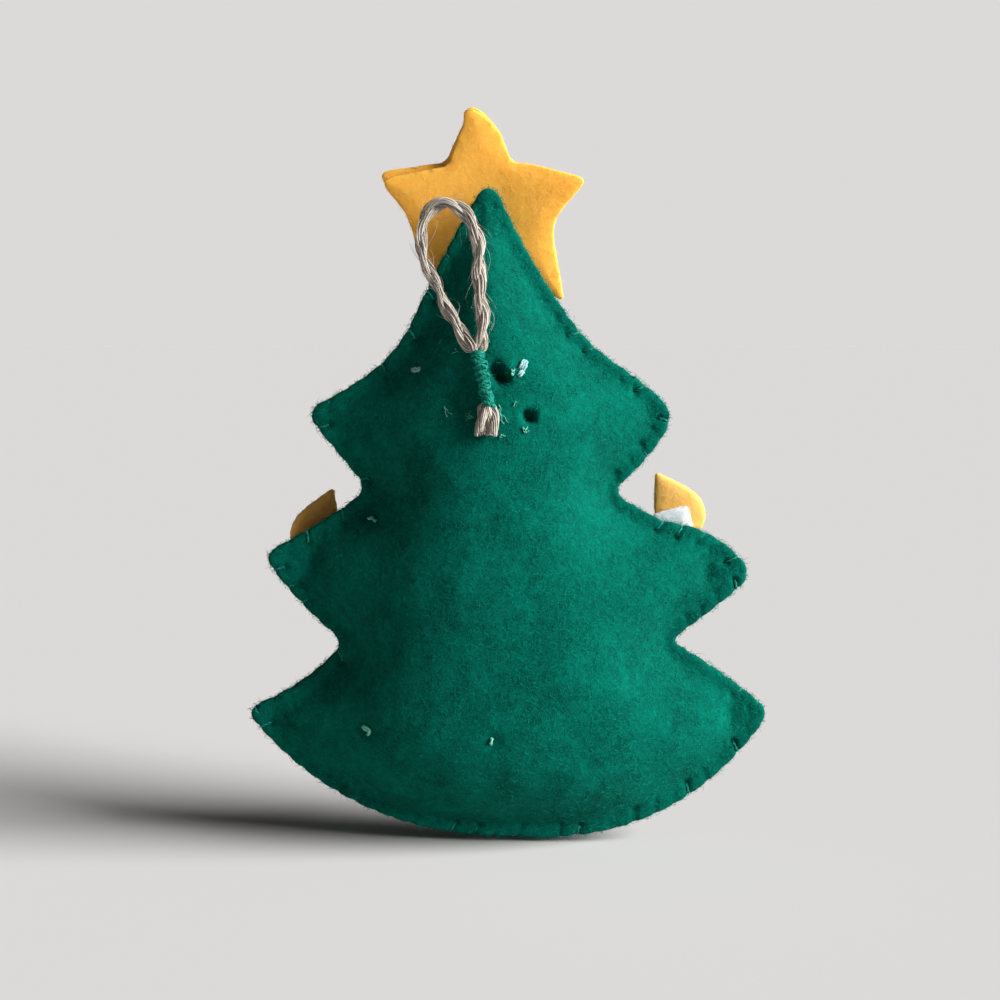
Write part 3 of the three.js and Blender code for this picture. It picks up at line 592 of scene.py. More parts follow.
# For short and for long hairs: the range of steps along the twine, and of the height over it in millimetres
HAIR_STEPS = {True: (5, 11), False: (9, 26)}
HAIR_LIFTS = {True: (0.05, 0.4), False: (0.2, 1.3)}
LIFT_POWERS = (1.1, 2.0)
SHORT_CURL = 0.15
LONG_CURLS = (0.3, 0.8, 1.5)
CURL_ODDS = (0.5, 0.35, 0.15)
CURL_TURN = 7
hairs = []
for _ in range(HAIRS):
    start = int(draw.integers(BARE_START, len(twine_path) - BARE_END))
    short = bool(draw.random() < SHORT_SHARE)
    reach = int(draw.integers(*HAIR_STEPS[short]))
    if inside[start - LASHING_ROOM:start + reach + LASHING_ROOM].max() > HELD:
        continue
    ply = strand_paths[int(draw.integers(0, len(strand_paths)))]
    root = ply[min(start, len(ply) - HAIR_END):][:reach]
    out = unit(root[-1] - twine_path[start + len(root) - 1])
    share = np.linspace(0, 1, len(root))[:, None]
    lift = draw.uniform(*HAIR_LIFTS[short]) * share ** draw.uniform(*LIFT_POWERS)
    turn = draw.uniform(-CURL_TURN, CURL_TURN) * share
    first, second = np.linalg.qr(draw.normal(size=(3, 2)))[0].T
    size = SHORT_CURL if short else draw.choice(LONG_CURLS, p=CURL_ODDS)
    curl = size * share * (np.sin(turn) * first + (1 - np.cos(turn)) * second)
    hair = (root + out * lift + curl)[::2]
    taper = np.linspace(HAIR_RADIUS, HAIR_RADIUS * HAIR_TAPER, len(hair))
    hairs.append(closed_strand(hair, taper * draw.uniform(*HAIR_GIRTHS)))
twine_hairs = add_piece("twine_hairs", sweep(hairs, ring=0, seed=4), "jute")

# %% Bake the twine's transform and hide the imported loop and its ends
for piece in (twine, twine_hairs):
    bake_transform(piece)
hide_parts("hanging_loop", "twine_end_left", "twine_end_right")

# %% [markdown]
# ## The cut edge of the tree
# Both sheets are cut along one outline: three tiers with bowed sides and rounded corners. Each side is a
# quadratic curve whose middle swells by its bow. Stitches, felt and stuffing all measure from this edge.

# %% Outline
# Each corner has its x and z, how far its rounding reaches, and the bow of the side that follows it.
TREE_CORNERS = [
    (-1.5, 102.4, 4.4, -1.2),
    (14.6, 75.6, 5.0, 0.6),
    (27.1, 66.0, 3.4, 0.9),
    (16.9, 53.9, 3.2, 0.0),
    (25.2, 49.1, 2.4, 2.0),
    (39.3, 41.0, 2.6, 0.3),
    (26.2, 30.6, 2.4, 0.5),
    (42.2, 19.4, 2.2, 6.9),
    (1.1, -0.3, 4.0, 5.6),
    (-39.8, 19.7, 2.2, -1.3),
    (-24.2, 30.4, 2.4, 0.7),
    (-36.9, 44.2, 2.6, -0.6),
    (-20.4, 54.4, 2.6, 0.0),
    (-30.3, 66.5, 3.4, -0.9),
    (-15.0, 76.6, 5.0, 0.6),
]
EDGE_SPACING = 0.1
SIDE_STEPS = 40
LOOK_AHEAD = 3


def cut_edge(corners, spacing):
    """Evenly spaced points along the edge, clockwise as seen from the back."""
    sides = []
    for (x, z, _, bow), (next_x, next_z, _, _) in zip(corners, corners[1:] + corners[:1]):
        start = np.array((x, z))
        end = np.array((next_x, next_z))
        run = end - start
        length = np.linalg.norm(run)
        outward = np.array((-run[1], run[0])) / length
        sides.append((start, (start + end) / 2 + 2 * bow * outward, end, length))

    def along(side, u, v):
        start, pull, end, _ = side
        first = start + (pull - start) * u
        second = pull + (end - pull) * u
        return first + (second - first) * v

    steps = np.linspace(0, 1, SIDE_STEPS, endpoint=False)[:, None]
    line = []
    for i, side in enumerate(sides):
        following = sides[(i + 1) % len(sides)]
        corner = corners[(i + 1) % len(sides)]
        low = corners[i][2] / side[3]
        high = 1 - corner[2] / side[3]
        onward = corner[2] / following[3]
        cut = (along(side, low, low), along(side, low, high), along(side, high, high))
        rounding = (cut[2], side[2], along(following, onward, onward))
        for a, b, c in (cut, rounding):
            line.append((1 - steps) ** 2 * a + 2 * steps * (1 - steps) * b + steps ** 2 * c)
    line = np.concatenate(line + [line[0][:1]])
    length = run_lengths(line)[-1]
    count = round(length / spacing)
    return points_at(line, np.arange(count) * length / count), length


def kd_tree(spots):
    """A search tree that finds the nearest of the given spots."""
    tree = KDTree(len(spots))
    for i, spot in enumerate(spots):
        tree.insert(spot, i)
    tree.balance()
    return tree


edge, perimeter = cut_edge(TREE_CORNERS, EDGE_SPACING)
edge_ahead = np.roll(edge, -LOOK_AHEAD, axis=0) - np.roll(edge, LOOK_AHEAD, axis=0)
edge_out = unit(np.stack([-edge_ahead[:, 1], edge_ahead[:, 0]], axis=1))
edge_tree = kd_tree(np.c_[edge, np.zeros(len(edge))])
print("edge", round(perimeter, 1), "mm long")

# %% [markdown]
# ## Where the stitches go
# Whip stitches join the two sheets: the thread comes out of the back, goes over the edge and into the
# front, a little further along each time. Round a sharp tip the bites are less deep, because the stitches
# fan in there.

# %% Bites of the needle
STITCH_PITCH = 3.25
PITCH_UNREST = 0.12
STITCH_BITE = 1.9
BITE_UNREST = (0.85, 1.12)
BITE_SPACE = 1.4
BITE_PASSES = 24
BITE_EASE = 0.94
STITCH_SLANT = 0.8
FIRMEST = 1.15
FIRM_POWER = 1.2

stitch_count = round(perimeter / STITCH_PITCH)
pitch = perimeter / stitch_count


def edge_at(distance):
    """Point and outward direction on the cut edge, that far along it."""
    i = int(round(distance / perimeter * len(edge))) % len(edge)
    return edge[i], edge_out[i]


bite_draw = np.random.default_rng(5)
unrest = bite_draw.uniform(-PITCH_UNREST, PITCH_UNREST, stitch_count)
stitch_at = (np.arange(stitch_count) + unrest) * pitch
bites = STITCH_BITE * bite_draw.uniform(*BITE_UNREST, stitch_count)
for _ in range(BITE_PASSES):
    spots = np.array([edge_at(a)[0] - edge_at(a)[1] * b for a, b in zip(stitch_at, bites)])
    close = np.linalg.norm(spots - np.roll(spots, -1, axis=0), axis=1) < BITE_SPACE
    bites = np.where(close | np.roll(close, 1), bites * BITE_EASE, bites)
firmness = FIRMEST * bite_draw.uniform(0, 1, stitch_count) ** FIRM_POWER
print("stitches", stitch_count, "bites", round(bites.min(), 2), "to", round(bites.max(), 2))

# %% [markdown]
# ## How far the stuffing lifts the felt
# The felt rises from a flat margin at the seam to a full crown. A smooth distance to the seam gives a dome
# without ridges: it adds up the whole edge, weighted by the inverse cube of its distance. The dome also
# falls off towards both sides. It is drawn in under the lashing, at the tips that the stuffing doesn't
# reach, at the tacks and at a needle hole.

# %% Swell of the stuffing
FELT = 1.3
SEAM_FACE = 0.02
SEAM_CLOSE = (0.8, 2.6)
PUFF = 11.5
FLAT_MARGIN = 2.3
SPINE_HEIGHTS = (24.0, 80.0)
CROWN_POWER = 0.9
FLANK_LOSS = 0.55
BODY_HEIGHTS = (20.0, 85.0)
BODY_HALF_WIDTHS = (40.0, 18.0)
SOFT_START = 0.05
SAMPLE_EVERY = 5
NEAREST = 0.1
AT_ONCE = 4000
SPINE_STEPS = 11

seam_samples = edge[::SAMPLE_EVERY]
seam_step = perimeter / len(seam_samples)


def seam_distance(points):
    """Smooth distance from the seam."""
    found = np.empty(len(points))
    for low in range(0, len(points), AT_ONCE):
        part = slice(low, low + AT_ONCE)
        gap = points[part, None, :] - seam_samples[None, :, :]
        squared = np.maximum(np.einsum("ijk,ijk->ij", gap, gap), NEAREST ** 2)
        found[part] = np.sqrt(2 / (seam_step * squared ** -1.5).sum(axis=1))
    return found


spine = np.stack([np.zeros(SPINE_STEPS), np.linspace(*SPINE_HEIGHTS, SPINE_STEPS)], axis=1)
deepest = seam_distance(spine).max()
print("deepest place", round(deepest, 2), "mm from the seam")


def swell(points):
    share = (seam_distance(points) - FLAT_MARGIN) / (deepest - FLAT_MARGIN)
    soft = (share + np.sqrt(share ** 2 + SOFT_START ** 2)) / 2
    full = np.clip(soft, 0, 1)
    half_width = np.interp(points[:, 1], BODY_HEIGHTS, BODY_HALF_WIDTHS)
    aside = np.minimum(1, np.abs(points[:, 0]) / half_width)
    return (full * (2 - full)) ** CROWN_POWER * (1 - FLANK_LOSS * aside ** 2)


# %% Hollows of the back
# Each hollow has its x and z, depth, reach along x and z, turn in degrees, and a power for its steep side.
HOLLOWS = [
    (-2.7, 71.9, 1.4, 8.0, 8.0, 0, 2),
    (-0.2, 72.3, 2.9, 1.65, 1.02, -58, 3),
    (-5.9, 71.4, 1.7, 2.6, 4.2, 0, 2),
    (23.5, 65.5, 1.5, 1.3, 2.6, 0, 2),
    (32.4, 41.4, 1.5, 1.5, 2.4, 0, 2),
    (36.4, 18.8, 1.4, 1.7, 2.2, 0, 2),
    (-28.8, 43.4, 0.8, 1.2, 3.4, 0, 2),
    (-34.6, 19.4, 0.8, 1.4, 2.4, 0, 2),
    (-25.8, 66.2, 0.8, 1.3, 2.4, 0, 2),
    (4.3, 66.0, 2.1, 0.94, 0.94, 0, 4),
    (-12.8, 72.9, 0.5, 1.4, 1.4, 0, 2),
    (3.3, 73.3, 0.4, 1.5, 1.7, 0, 2),
    (-19.4, 50.3, 0.5, 1.3, 1.3, 0, 2),
    (-20.4, 18.0, 0.5, 1.3, 1.3, 0, 2),
    (-1.3, 17.2, 0.5, 1.3, 1.3, 0, 2),
]


def hollow_shares(points):
    """For each hollow, how far into it the points lie: 1 in its middle."""
    for x, z, deep, wide, tall, turn, steep in HOLLOWS:
        c, s = pointing(math.radians(turn))
        right = points[:, 0] - x
        up = points[:, 1] - z
        along = np.abs((right * c + up * s) / wide)
        across = np.abs((up * c - right * s) / tall)
        yield deep, np.exp(-(along ** steep) - across ** steep)


def hollows(points):
    return sum(deep * share for deep, share in hollow_shares(points))


# %% Flat tips
# The stuffing ends before the tips of the branches, at a fold. Each fold has a point and the way inwards.
TIP_FOLDS = [
    (-28.6, 43.4, 0.977, -0.21),
    (-34.4, 19.6, 0.95, -0.20),
    (-25.6, 66.2, 0.99, 0.05),
    (33.0, 41.4, -0.97, -0.10),
    (36.8, 18.9, -0.95, -0.15),
    (23.9, 65.6, -0.99, 0.05),
]
FOLD_WIDTH = 1.1
TIP_REACH = (8.0, 12.0)
TIP_SHARE = 0.32
# Height and size of the lumps of stuffing, and a shift of their noise
LUMPS = ((0.42, 11, 0), (0.16, 4, 7))


def stuffed_share(points):
    """How much of the full rise is left: less beyond the folds."""
    share = np.ones(len(points))
    for x, z, inward_x, inward_z in TIP_FOLDS:
        offset = points - (x, z)
        inwards = offset[:, 0] * inward_x + offset[:, 1] * inward_z
        near = 1 - smooth_step(np.linalg.norm(offset, axis=1), *TIP_REACH)
        flat = 1 - smooth_step(inwards, -FOLD_WIDTH, FOLD_WIDTH)
        share *= 1 - (1 - TIP_SHARE) * near * flat
    return share


def lumps(points, seed):
    """Gentle unevenness of the stuffing."""
    found = np.zeros(len(points))
    for high, size, shift in LUMPS:
        found += [high * noise.noise((x / size, z / size, seed + shift)) for x, z in points]
    return found


# %% [markdown]
# ## Felt sheets
# A sheet starts as the flat outline, extruded to the thickness of felt. A voxel remesh gives it small even
# faces and rounds its cut edge. Then it is bent over the stuffing. The band along the seam is subdivided
# once more, so that each stitch can press its own groove and pit into the felt and draw the edge in.

# %% Flat slab of felt
SHEET_VOXEL = 0.5
RIM_EVERY = 4


def remeshed(mesh, voxel):
    """A copy of a closed mesh in even faces of about the voxel's size."""
    carrier = new_object("slab", mesh)
    modifier = carrier.modifiers.new("even", "REMESH")
    modifier.mode = "VOXEL"
    modifier.voxel_size = voxel
    return baked(carrier)


def flat_slab(outline, thickness, voxel):
    mesh = bpy.data.meshes.new("slab")
    with reshaping(mesh) as shape:
        rim = [shape.verts.new((x, 0, z)) for x, z in outline]
        face = shape.faces.new(rim)
        lifted = bmesh.ops.extrude_face_region(shape, geom=[face])["geom"]
        moved = [g for g in lifted if isinstance(g, bmesh.types.BMVert)]
        bmesh.ops.translate(shape, vec=(0, thickness, 0), verts=moved)
        bmesh.ops.recalc_face_normals(shape, faces=shape.faces)
    return remeshed(mesh, voxel)


def coordinates(mesh):
    found = np.empty(len(mesh.vertices) * 3)
    mesh.vertices.foreach_get("co", found)
    return found.reshape(-1, 3)


slab = flat_slab(edge[::RIM_EVERY], FELT, SHEET_VOXEL)
print("slab", len(slab.polygons), "faces")

# %% Finer faces along the seam and at the small hollows
BAND = 3.0
SMALL_HOLLOW = 1.65
IN_HOLLOW = 0.02
INNER_FACE = 0.3


def refine(mesh):
    spots = coordinates(mesh)
    beside_seam = np.array([edge_tree.find((x, z, 0))[2] < BAND for x, _, z in spots])
    steep = [share for deep, share in hollow_shares(spots[:, [0, 2]]) if deep > SMALL_HOLLOW]
    in_hollow = np.max(steep, axis=0) > IN_HOLLOW
    near = (beside_seam | in_hollow) & (spots[:, 1] > INNER_FACE)
    with reshaping(mesh) as shape:
        edges = [e for e in shape.edges if near[e.verts[0].index] and near[e.verts[1].index]]
        bmesh.ops.subdivide_edges(shape, edges=edges, cuts=1, use_grid_fill=True)


refine(slab)
print("slab with finer places", len(slab.polygons), "faces")

# %% Bend a sheet over the stuffing
GROOVE = 0.30
GROOVE_WIDTH = 0.5
GROOVE_END = (0.4, 0.5)
PIT = 0.62
PIT_REACH = (0.6, 0.65)
PINCH = 0.22
PINCH_REACH = (0.6, 0.9)
EDGE_PUFF = 0.12
SLOPE_STEP = 0.3
STEEPEST = 2.2
LUMP_ROOM = 4
HOLLOW_ROOM = 1.2
FAR_BEHIND = 60


def stitch_marks(points):
    """Groove and pit depth, and how far the edge is drawn in, at points given in x and z."""
    groove = np.zeros(len(points))
    drawn = np.zeros((len(points), 2))
    found = [edge_tree.find((x, z, 0)) for x, z in points]
    index = np.array([f[1] for f in found])
    inward = np.array([f[2] for f in found])
    place = index * perimeter / len(edge)
    for offset in (-1, 0, 1):
        stitch = (np.round(place / pitch).astype(int) + offset) % stitch_count
        aside = place - stitch_at[stitch]
        aside = (aside + perimeter / 2) % perimeter - perimeter / 2
        bite = bites[stitch]
        leaning = aside - STITCH_SLANT * np.clip(1 - inward / bite, 0, 1)
        firm = firmness[stitch]
        along = np.clip((bite + GROOVE_END[0] - inward) / GROOVE_END[1], 0, 1)
        groove = np.maximum(groove, GROOVE * firm * bell(leaning, GROOVE_WIDTH) * along)
        hole = bell(aside, PIT_REACH[0]) * bell(inward - bite, PIT_REACH[1])
        groove = np.maximum(groove, PIT * firm * hole)
        pull = bell(leaning, PINCH_REACH[0]) * bell(inward, PINCH_REACH[1])
        drawn -= (PINCH * (0.5 + 0.5 * firm) * pull)[:, None] * edge_out[index]
    puff = EDGE_PUFF * bell(inward, PINCH_REACH[1])
    drawn += puff[:, None] * edge_out[index]
    return groove, drawn


def sheet_faces(points, rise_at):
    """Height of the felt's outside and inside over the seam plane."""
    rise = rise_at(points)
    along_x = (rise_at(points + (SLOPE_STEP, 0)) - rise) / SLOPE_STEP
    along_z = (rise_at(points + (0, SLOPE_STEP)) - rise) / SLOPE_STEP
    slope = np.minimum(np.sqrt(1 + along_x ** 2 + along_z ** 2), STEEPEST)
    outer = SEAM_FACE + FELT + rise
    under = np.maximum(0, rise + FELT * (1 - slope)) * smooth_step(seam_distance(points), *SEAM_CLOSE)
    return outer, SEAM_FACE + under


def bent_sheet(side, rise_at):
    """The slab bent over the stuffing. Side is -1 for the back and 1 for the front."""
    mesh = slab.copy()
    spots = coordinates(mesh)
    flat = spots[:, [0, 2]]
    thick = spots[:, 1]
    share = (thick - thick.min()) / (thick.max() - thick.min())
    outer, inner = sheet_faces(flat, rise_at)
    groove, drawn = stitch_marks(flat)
    placed = np.empty_like(spots)
    placed[:, 0] = flat[:, 0] + drawn[:, 0]
    placed[:, 2] = flat[:, 1] + drawn[:, 1]
    placed[:, 1] = side * (inner + (outer - groove - inner) * share)
    mesh.vertices.foreach_set("co", placed.ravel())
    if side < 0:
        mesh.flip_normals()
    mesh.update()
    return mesh


def stuffed_rise(points, seed):
    lift = PUFF * swell(points) * stuffed_share(points)
    return lift, lift + lumps(points, seed) * np.minimum(1, lift / LUMP_ROOM)


def back_rise(points):
    lift, rise = stuffed_rise(points, seed=2.0)
    return np.maximum(rise - hollows(points) * np.minimum(1, lift / HOLLOW_ROOM), 0)


def front_rise(points):
    return np.maximum(stuffed_rise(points, seed=31.0)[1], 0)


back_mesh = bent_sheet(-1, back_rise)
front_mesh = bent_sheet(1, front_rise)
back_tree = BVHTree.FromPolygons(
    [v.co.copy() for v in back_mesh.vertices], [tuple(p.vertices) for p in back_mesh.polygons]
)


def on_back(x, z, height):
    """A point so high over the outside of the back's felt."""
    hit = back_tree.ray_cast(Vector((x, -FAR_BEHIND, z)), Vector((0, 1, 0)))[0]
    depth = -hit.y if hit else SEAM_FACE + FELT
    return x, -(depth + height), z


# %% [markdown]
# ## Fuzz
# Loose wool ends soften the outline and catch the light. Each is a thin bent strand that starts in the
# felt, runs along it and lifts a little. They are scattered evenly by area with a fixed seed.

# %% Scatter wool ends
FIBRE_RADII = np.array((0.0, 0.026, 0.020, 0.0))
FIBRE_ROOT = 0.05
FIBRE_CURL = 0.45
SHORTEST = 0.35
LOWEST = 0.2
# Places along a fibre: its shares of the length ahead and aside, and its share of the lift
FIBRE_BEND = ((0.4, 0.0, 0.75), (0.72, 0.3, 1.0), (0.9, 0.75, 0.9))


def fuzz_paths(mesh, count, longest, lift, seed):
    """Paths of short fibres scattered on the mesh's outside."""
    scatter = np.random.default_rng(seed)
    mesh.calc_loop_triangles()
    corners = np.empty(len(mesh.loop_triangles) * 3, int)
    mesh.loop_triangles.foreach_get("vertices", corners)
    spots = coordinates(mesh)[corners.reshape(-1, 3)]
    normal = np.cross(spots[:, 1] - spots[:, 0], spots[:, 2] - spots[:, 0])
    area = np.linalg.norm(normal, axis=1)
    picked = scatter.choice(len(area), count, p=area / area.sum())
    u, v = scatter.random((2, count))
    turned = u + v > 1
    u = np.where(turned, 1 - u, u)[:, None]
    v = np.where(turned, 1 - v, v)[:, None]
    a, b, c = (spots[picked, k] for k in range(3))
    roots = a + u * (b - a) + v * (c - a)
    up = unit(normal[picked])
    sideways = unit(np.cross(up, scatter.normal(size=(count, 3))))
    curl = np.cross(up, sideways) * scatter.normal(0, FIBRE_CURL, (count, 1))
    length = longest * scatter.uniform(SHORTEST, 1, (count, 1))
    rise = lift * scatter.uniform(LOWEST, 1, (count, 1)) ** 2
    rows = [roots - FIBRE_ROOT * up]
    for ahead, aside, lifted in FIBRE_BEND:
        rows.append(roots + length * (ahead * sideways + aside * curl) + rise * lifted * up)
    return np.stack(rows, axis=1)


def add_fuzz(name, mesh, count, longest, lift, seed, finish, fine=1.0):
    fibres = [(path, FIBRE_RADII * fine) for path in fuzz_paths(mesh, count, longest, lift, seed)]
    return add_piece(name, sweep(fibres, ring=0, seed=seed), finish)


# %% Fibres of the rim and the two sheets
RIM_FIBRES = 2600
RIM_ROOT = 0.25
RIM_REACH = (0.35, 0.95)
RIM_LEAN = 0.5
RIM_SWAY = 0.8
# Places along a fibre: its shares of the reach outwards and aside
RIM_BEND = ((0, 0), (0.5, 0.2), (0.8, 0.6), (0.9, 1))
# Number of fibres, length of the longest, and lift in millimetres
SHEET_FIBRES = (10000, 1.7, 0.34)

rim_draw = np.random.default_rng(23)
picked = rim_draw.integers(0, len(edge), RIM_FIBRES)
level = rim_draw.uniform(-1, 1, RIM_FIBRES) * (SEAM_FACE + FELT)
outward = np.c_[edge_out[picked, 0], rim_draw.normal(0, RIM_LEAN, RIM_FIBRES), edge_out[picked, 1]]
sideways = np.c_[edge_out[picked, 1], np.zeros(RIM_FIBRES), -edge_out[picked, 0]]
sideways *= rim_draw.normal(0, RIM_SWAY, (RIM_FIBRES, 1))
reach = rim_draw.uniform(*RIM_REACH, (RIM_FIBRES, 1))
rim_roots = np.c_[edge[picked, 0], level, edge[picked, 1]] - RIM_ROOT * outward
rim_rows = [rim_roots + reach * (out * outward + aside * sideways) for out, aside in RIM_BEND]
rim_paths = [(path, FIBRE_RADII) for path in np.stack(rim_rows, axis=1)]
rim_fuzz = add_piece("rim_fuzz", sweep(rim_paths, ring=0, seed=24), "green_wool")
sewn_on(rim_fuzz, "green_felt")

back_fuzz = add_fuzz("back_fuzz", back_mesh, *SHEET_FIBRES, seed=21, finish="green_wool")
front_fuzz = add_fuzz("front_fuzz", front_mesh, *SHEET_FIBRES, seed=22, finish="green_wool")
back_felt = add_piece("back_felt", back_mesh, "green_felt")
front_felt = add_piece("front_felt", front_mesh, "green_felt")
for sheet, fuzz, node in ((back_felt, back_fuzz, "back_panel"), (front_felt, front_fuzz, "front_panel")):
    sewn_on(sheet, "green_felt", node)
    sewn_on(fuzz, "green_felt")

# %% [markdown]
# ## Whip stitches
# Each stitch is a short arch of two-ply thread: out of its pit in the back, over the drawn-in edge, and
# into the front. It lies in the groove that it has pressed.

# %% Stitches
SEWING_THREAD = (0.10, 0.125, 1.5, 2)
THREAD_STEP = 0.42
THREAD_UNREST = (-0.04, 0.06)
SINK = 0.3
# Share of the bite inwards from the edge, and the height over the seam plane
STITCH_ARCH = [(-1.0, 0.5), (-0.88, 1.04), (-0.5, 1.18), (-0.2, 1.10), (-0.08, 0.72), (-0.06, 0.0)]

thread_draw = np.random.default_rng(9)
stitch_plies = []
for place, bite, firm in zip(stitch_at, bites, firmness):
    arch = []
    lift = thread_draw.uniform(*THREAD_UNREST)
    sunk = SINK * max(0.0, 1 - firm)
    for side, rows in ((-1, STITCH_ARCH), (1, STITCH_ARCH[-2::-1])):
        for reach, height in rows:
            going = (1 + reach) * STITCH_SLANT * -side
            spot, outward = edge_at(place + (going if side < 0 else 2 * STITCH_SLANT + going))
            x, z = spot + outward * (reach * bite)
            deeper = sunk * min(1.0, 2 * abs(reach))
            arch.append((x, side * (height + lift - deeper), z))
    centre = smooth_path(arch, THREAD_STEP)
    stitch_plies += thread(centre, *SEWING_THREAD, thread_draw.uniform(*ANY_PHASE))
stitching = add_piece("whip_stitches", sweep(stitch_plies, ring=1, seed=8), "green_thread")
sewn_on(stitching, "green_thread", "edge_stitching")

# %% [markdown]
# ## The lashing
# Many turns of green thread sew the twine to the back. They are wound by hand, so no two have the same
# width or slope. They sink into the hollows at both sides.

# %% Lashing
LASHING_LOW = 67.9
LASHING_HIGH = 75.7
LASHING_HALF_WIDTH = 0.62
LASHING_HALF_DEPTH = 0.62
LASHING_STEPS = 14
LASHING_GIRTHS = (0.88, 1.16)
SWING_PHASE = 0.7
# The squeezed twine: heights and x of its middle, then heights and depth
TWINE_MIDDLE = ((68.2, 75.5), (-1.7, -3.4))
TWINE_DEPTH = ((67.2, 68.6, 72.0, 75.3), (11.8, 11.4, 10.7, 10.3))
# Turns, size and unrest of the winding that goes up, and of the looser one back over it
TIGHT_WINDING = (17, 1.0, 0.2)
LOOSE_WINDING = (9, 1.35, 0.75)
LASHING_SPACING = 0.3
LASHING_THREAD = (0.15, 0.15, 1.7, 3)
LASHING_FIBRES = (520, 1.2, 0.6)
lash_draw = np.random.default_rng(14)


def winding(start, end, turns, size, unrest):
    """Points of a thread wound round the squeezed twine from one height to another."""
    steps = np.arange(turns * LASHING_STEPS + 1)
    whole = np.arange(turns + 1)
    swing = np.interp(steps / LASHING_STEPS, whole, lash_draw.normal(0, unrest, turns + 1))
    girths = np.interp(steps / LASHING_STEPS, whole, lash_draw.uniform(*LASHING_GIRTHS, turns + 1))
    angle = 2 * math.pi * steps / LASHING_STEPS
    z = start + (end - start) * steps / steps[-1] + swing * np.cos(angle + SWING_PHASE)
    x = np.interp(z, *TWINE_MIDDLE) + LASHING_HALF_WIDTH * size * girths * np.cos(angle)
    y = -np.interp(z, *TWINE_DEPTH) + LASHING_HALF_DEPTH * size * girths * np.sin(angle)
    return np.stack([x, y, z], axis=1)


tight = winding(LASHING_LOW, LASHING_HIGH, *TIGHT_WINDING)
loose_over = winding(LASHING_HIGH, LASHING_LOW, *LOOSE_WINDING)
lashing_path = smooth_path(np.concatenate([tight, loose_over]), LASHING_SPACING)
lashing_mesh = sweep(thread(lashing_path, *LASHING_THREAD), ring=1, seed=15)
lashing_fuzz = add_fuzz("lashing_fuzz", lashing_mesh, *LASHING_FIBRES, seed=16, finish="green_wool")
lashing = add_piece("loop_lashing_thread", lashing_mesh, "green_thread")
sewn_on(lashing, "green_thread", "loop_lashing")
sewn_on(lashing_fuzz, "green_thread")

# %% [markdown]
# ## Tacks
# Where the candles are sewn on at the front, the thread comes out at the back in a short stitch: a few
# strands that rise out of a small hollow and go back in.

# %% Tack stitches
# Each stitch of a tack has its x and z, its length, its turn in degrees and its number of strands.
TACKS = {
    "tack_top_left": ("white_thread", [(-12.8, 72.9, 1.5, 8, 2)]),
    "tack_top_right": ("white_thread", [(3.5, 73.6, 1.7, 68, 3), (3.1, 72.4, 1.0, 40, 2)]),
    "tack_middle": ("pale_thread", [(-19.9, 50.1, 0.8, 20, 1), (-19.3, 49.9, 0.7, -35, 1)]),
    "tack_bottom_left": ("pale_thread", [(-20.4, 18.2, 1.5, -28, 2), (-20.0, 17.6, 1.0, 60, 1)]),
    "tack_bottom_middle": ("pale_thread", [(-1.3, 17.2, 1.2, 80, 1)]),
}
TACK_POINTS = 9
TACK_SPACE = 0.36
TACK_GATHER = 1.4
TACK_RISE = 0.28
TACK_DIVE = 7.0
DIVE_POWER = 3.4
TACK_UNREST = 0.02
TACK_STEP = 0.16
TACK_THREAD = (0.10, 0.17, 1.6, 2)
tack_draw = np.random.default_rng(17)
for name, (slot, stitches) in TACKS.items():
    plies = []
    for x, z, length, turn, count in stitches:
        ahead = pointing(math.radians(turn))
        across = np.array((-ahead[1], ahead[0]))
        for k in range(count):
            aside = (k - (count - 1) / 2) * TACK_SPACE
            arch = []
            for share in np.linspace(-0.5, 0.5, TACK_POINTS):
                gathered = aside * (1 - TACK_GATHER * share ** 2)
                spot = np.array((x, z)) + ahead * share * length + across * gathered
                height = TACK_RISE - TACK_DIVE * abs(share) ** DIVE_POWER + tack_draw.normal(0, TACK_UNREST)
                arch.append(on_back(*spot, height))
            centre = smooth_path(arch, TACK_STEP)
            plies += thread(centre, *TACK_THREAD, tack_draw.uniform(*ANY_PHASE))
    tack = add_piece(name + "_stitch", sweep(plies, ring=1, seed=18), slot)
    sewn_on(tack, slot, name)

# %% [markdown]
# A few clipped thread ends and bits of lint lie round the tie, each a tiny bundle of curled strands.

# %% Loose ends
# Each bundle has its x and z, reach, turn and scatter in degrees, number of strands, and their radius.
LOOSE_ENDS = [
    (-0.10, 67.6, 3.4, -82, 5, 4, 0.045),
    (0.30, 63.4, 0.6, -60, 70, 5, 0.060),
    (-4.00, 65.9, 1.5, 165, 30, 5, 0.042),
    (-8.40, 67.3, 1.9, -80, 5, 2, 0.042),
    (2.20, 67.9, 0.6, 40, 70, 4, 0.055),
    (3.65, 63.8, 0.8, 80, 50, 6, 0.075),
    (1.95, 72.1, 1.1, 95, 14, 3, 0.090),
    (-6.40, 75.6, 0.9, 160, 25, 3, 0.045),
]
LOOSE_STEPS = 12
LOOSE_SCATTER = 0.10
LOOSE_LIFT = 0.12
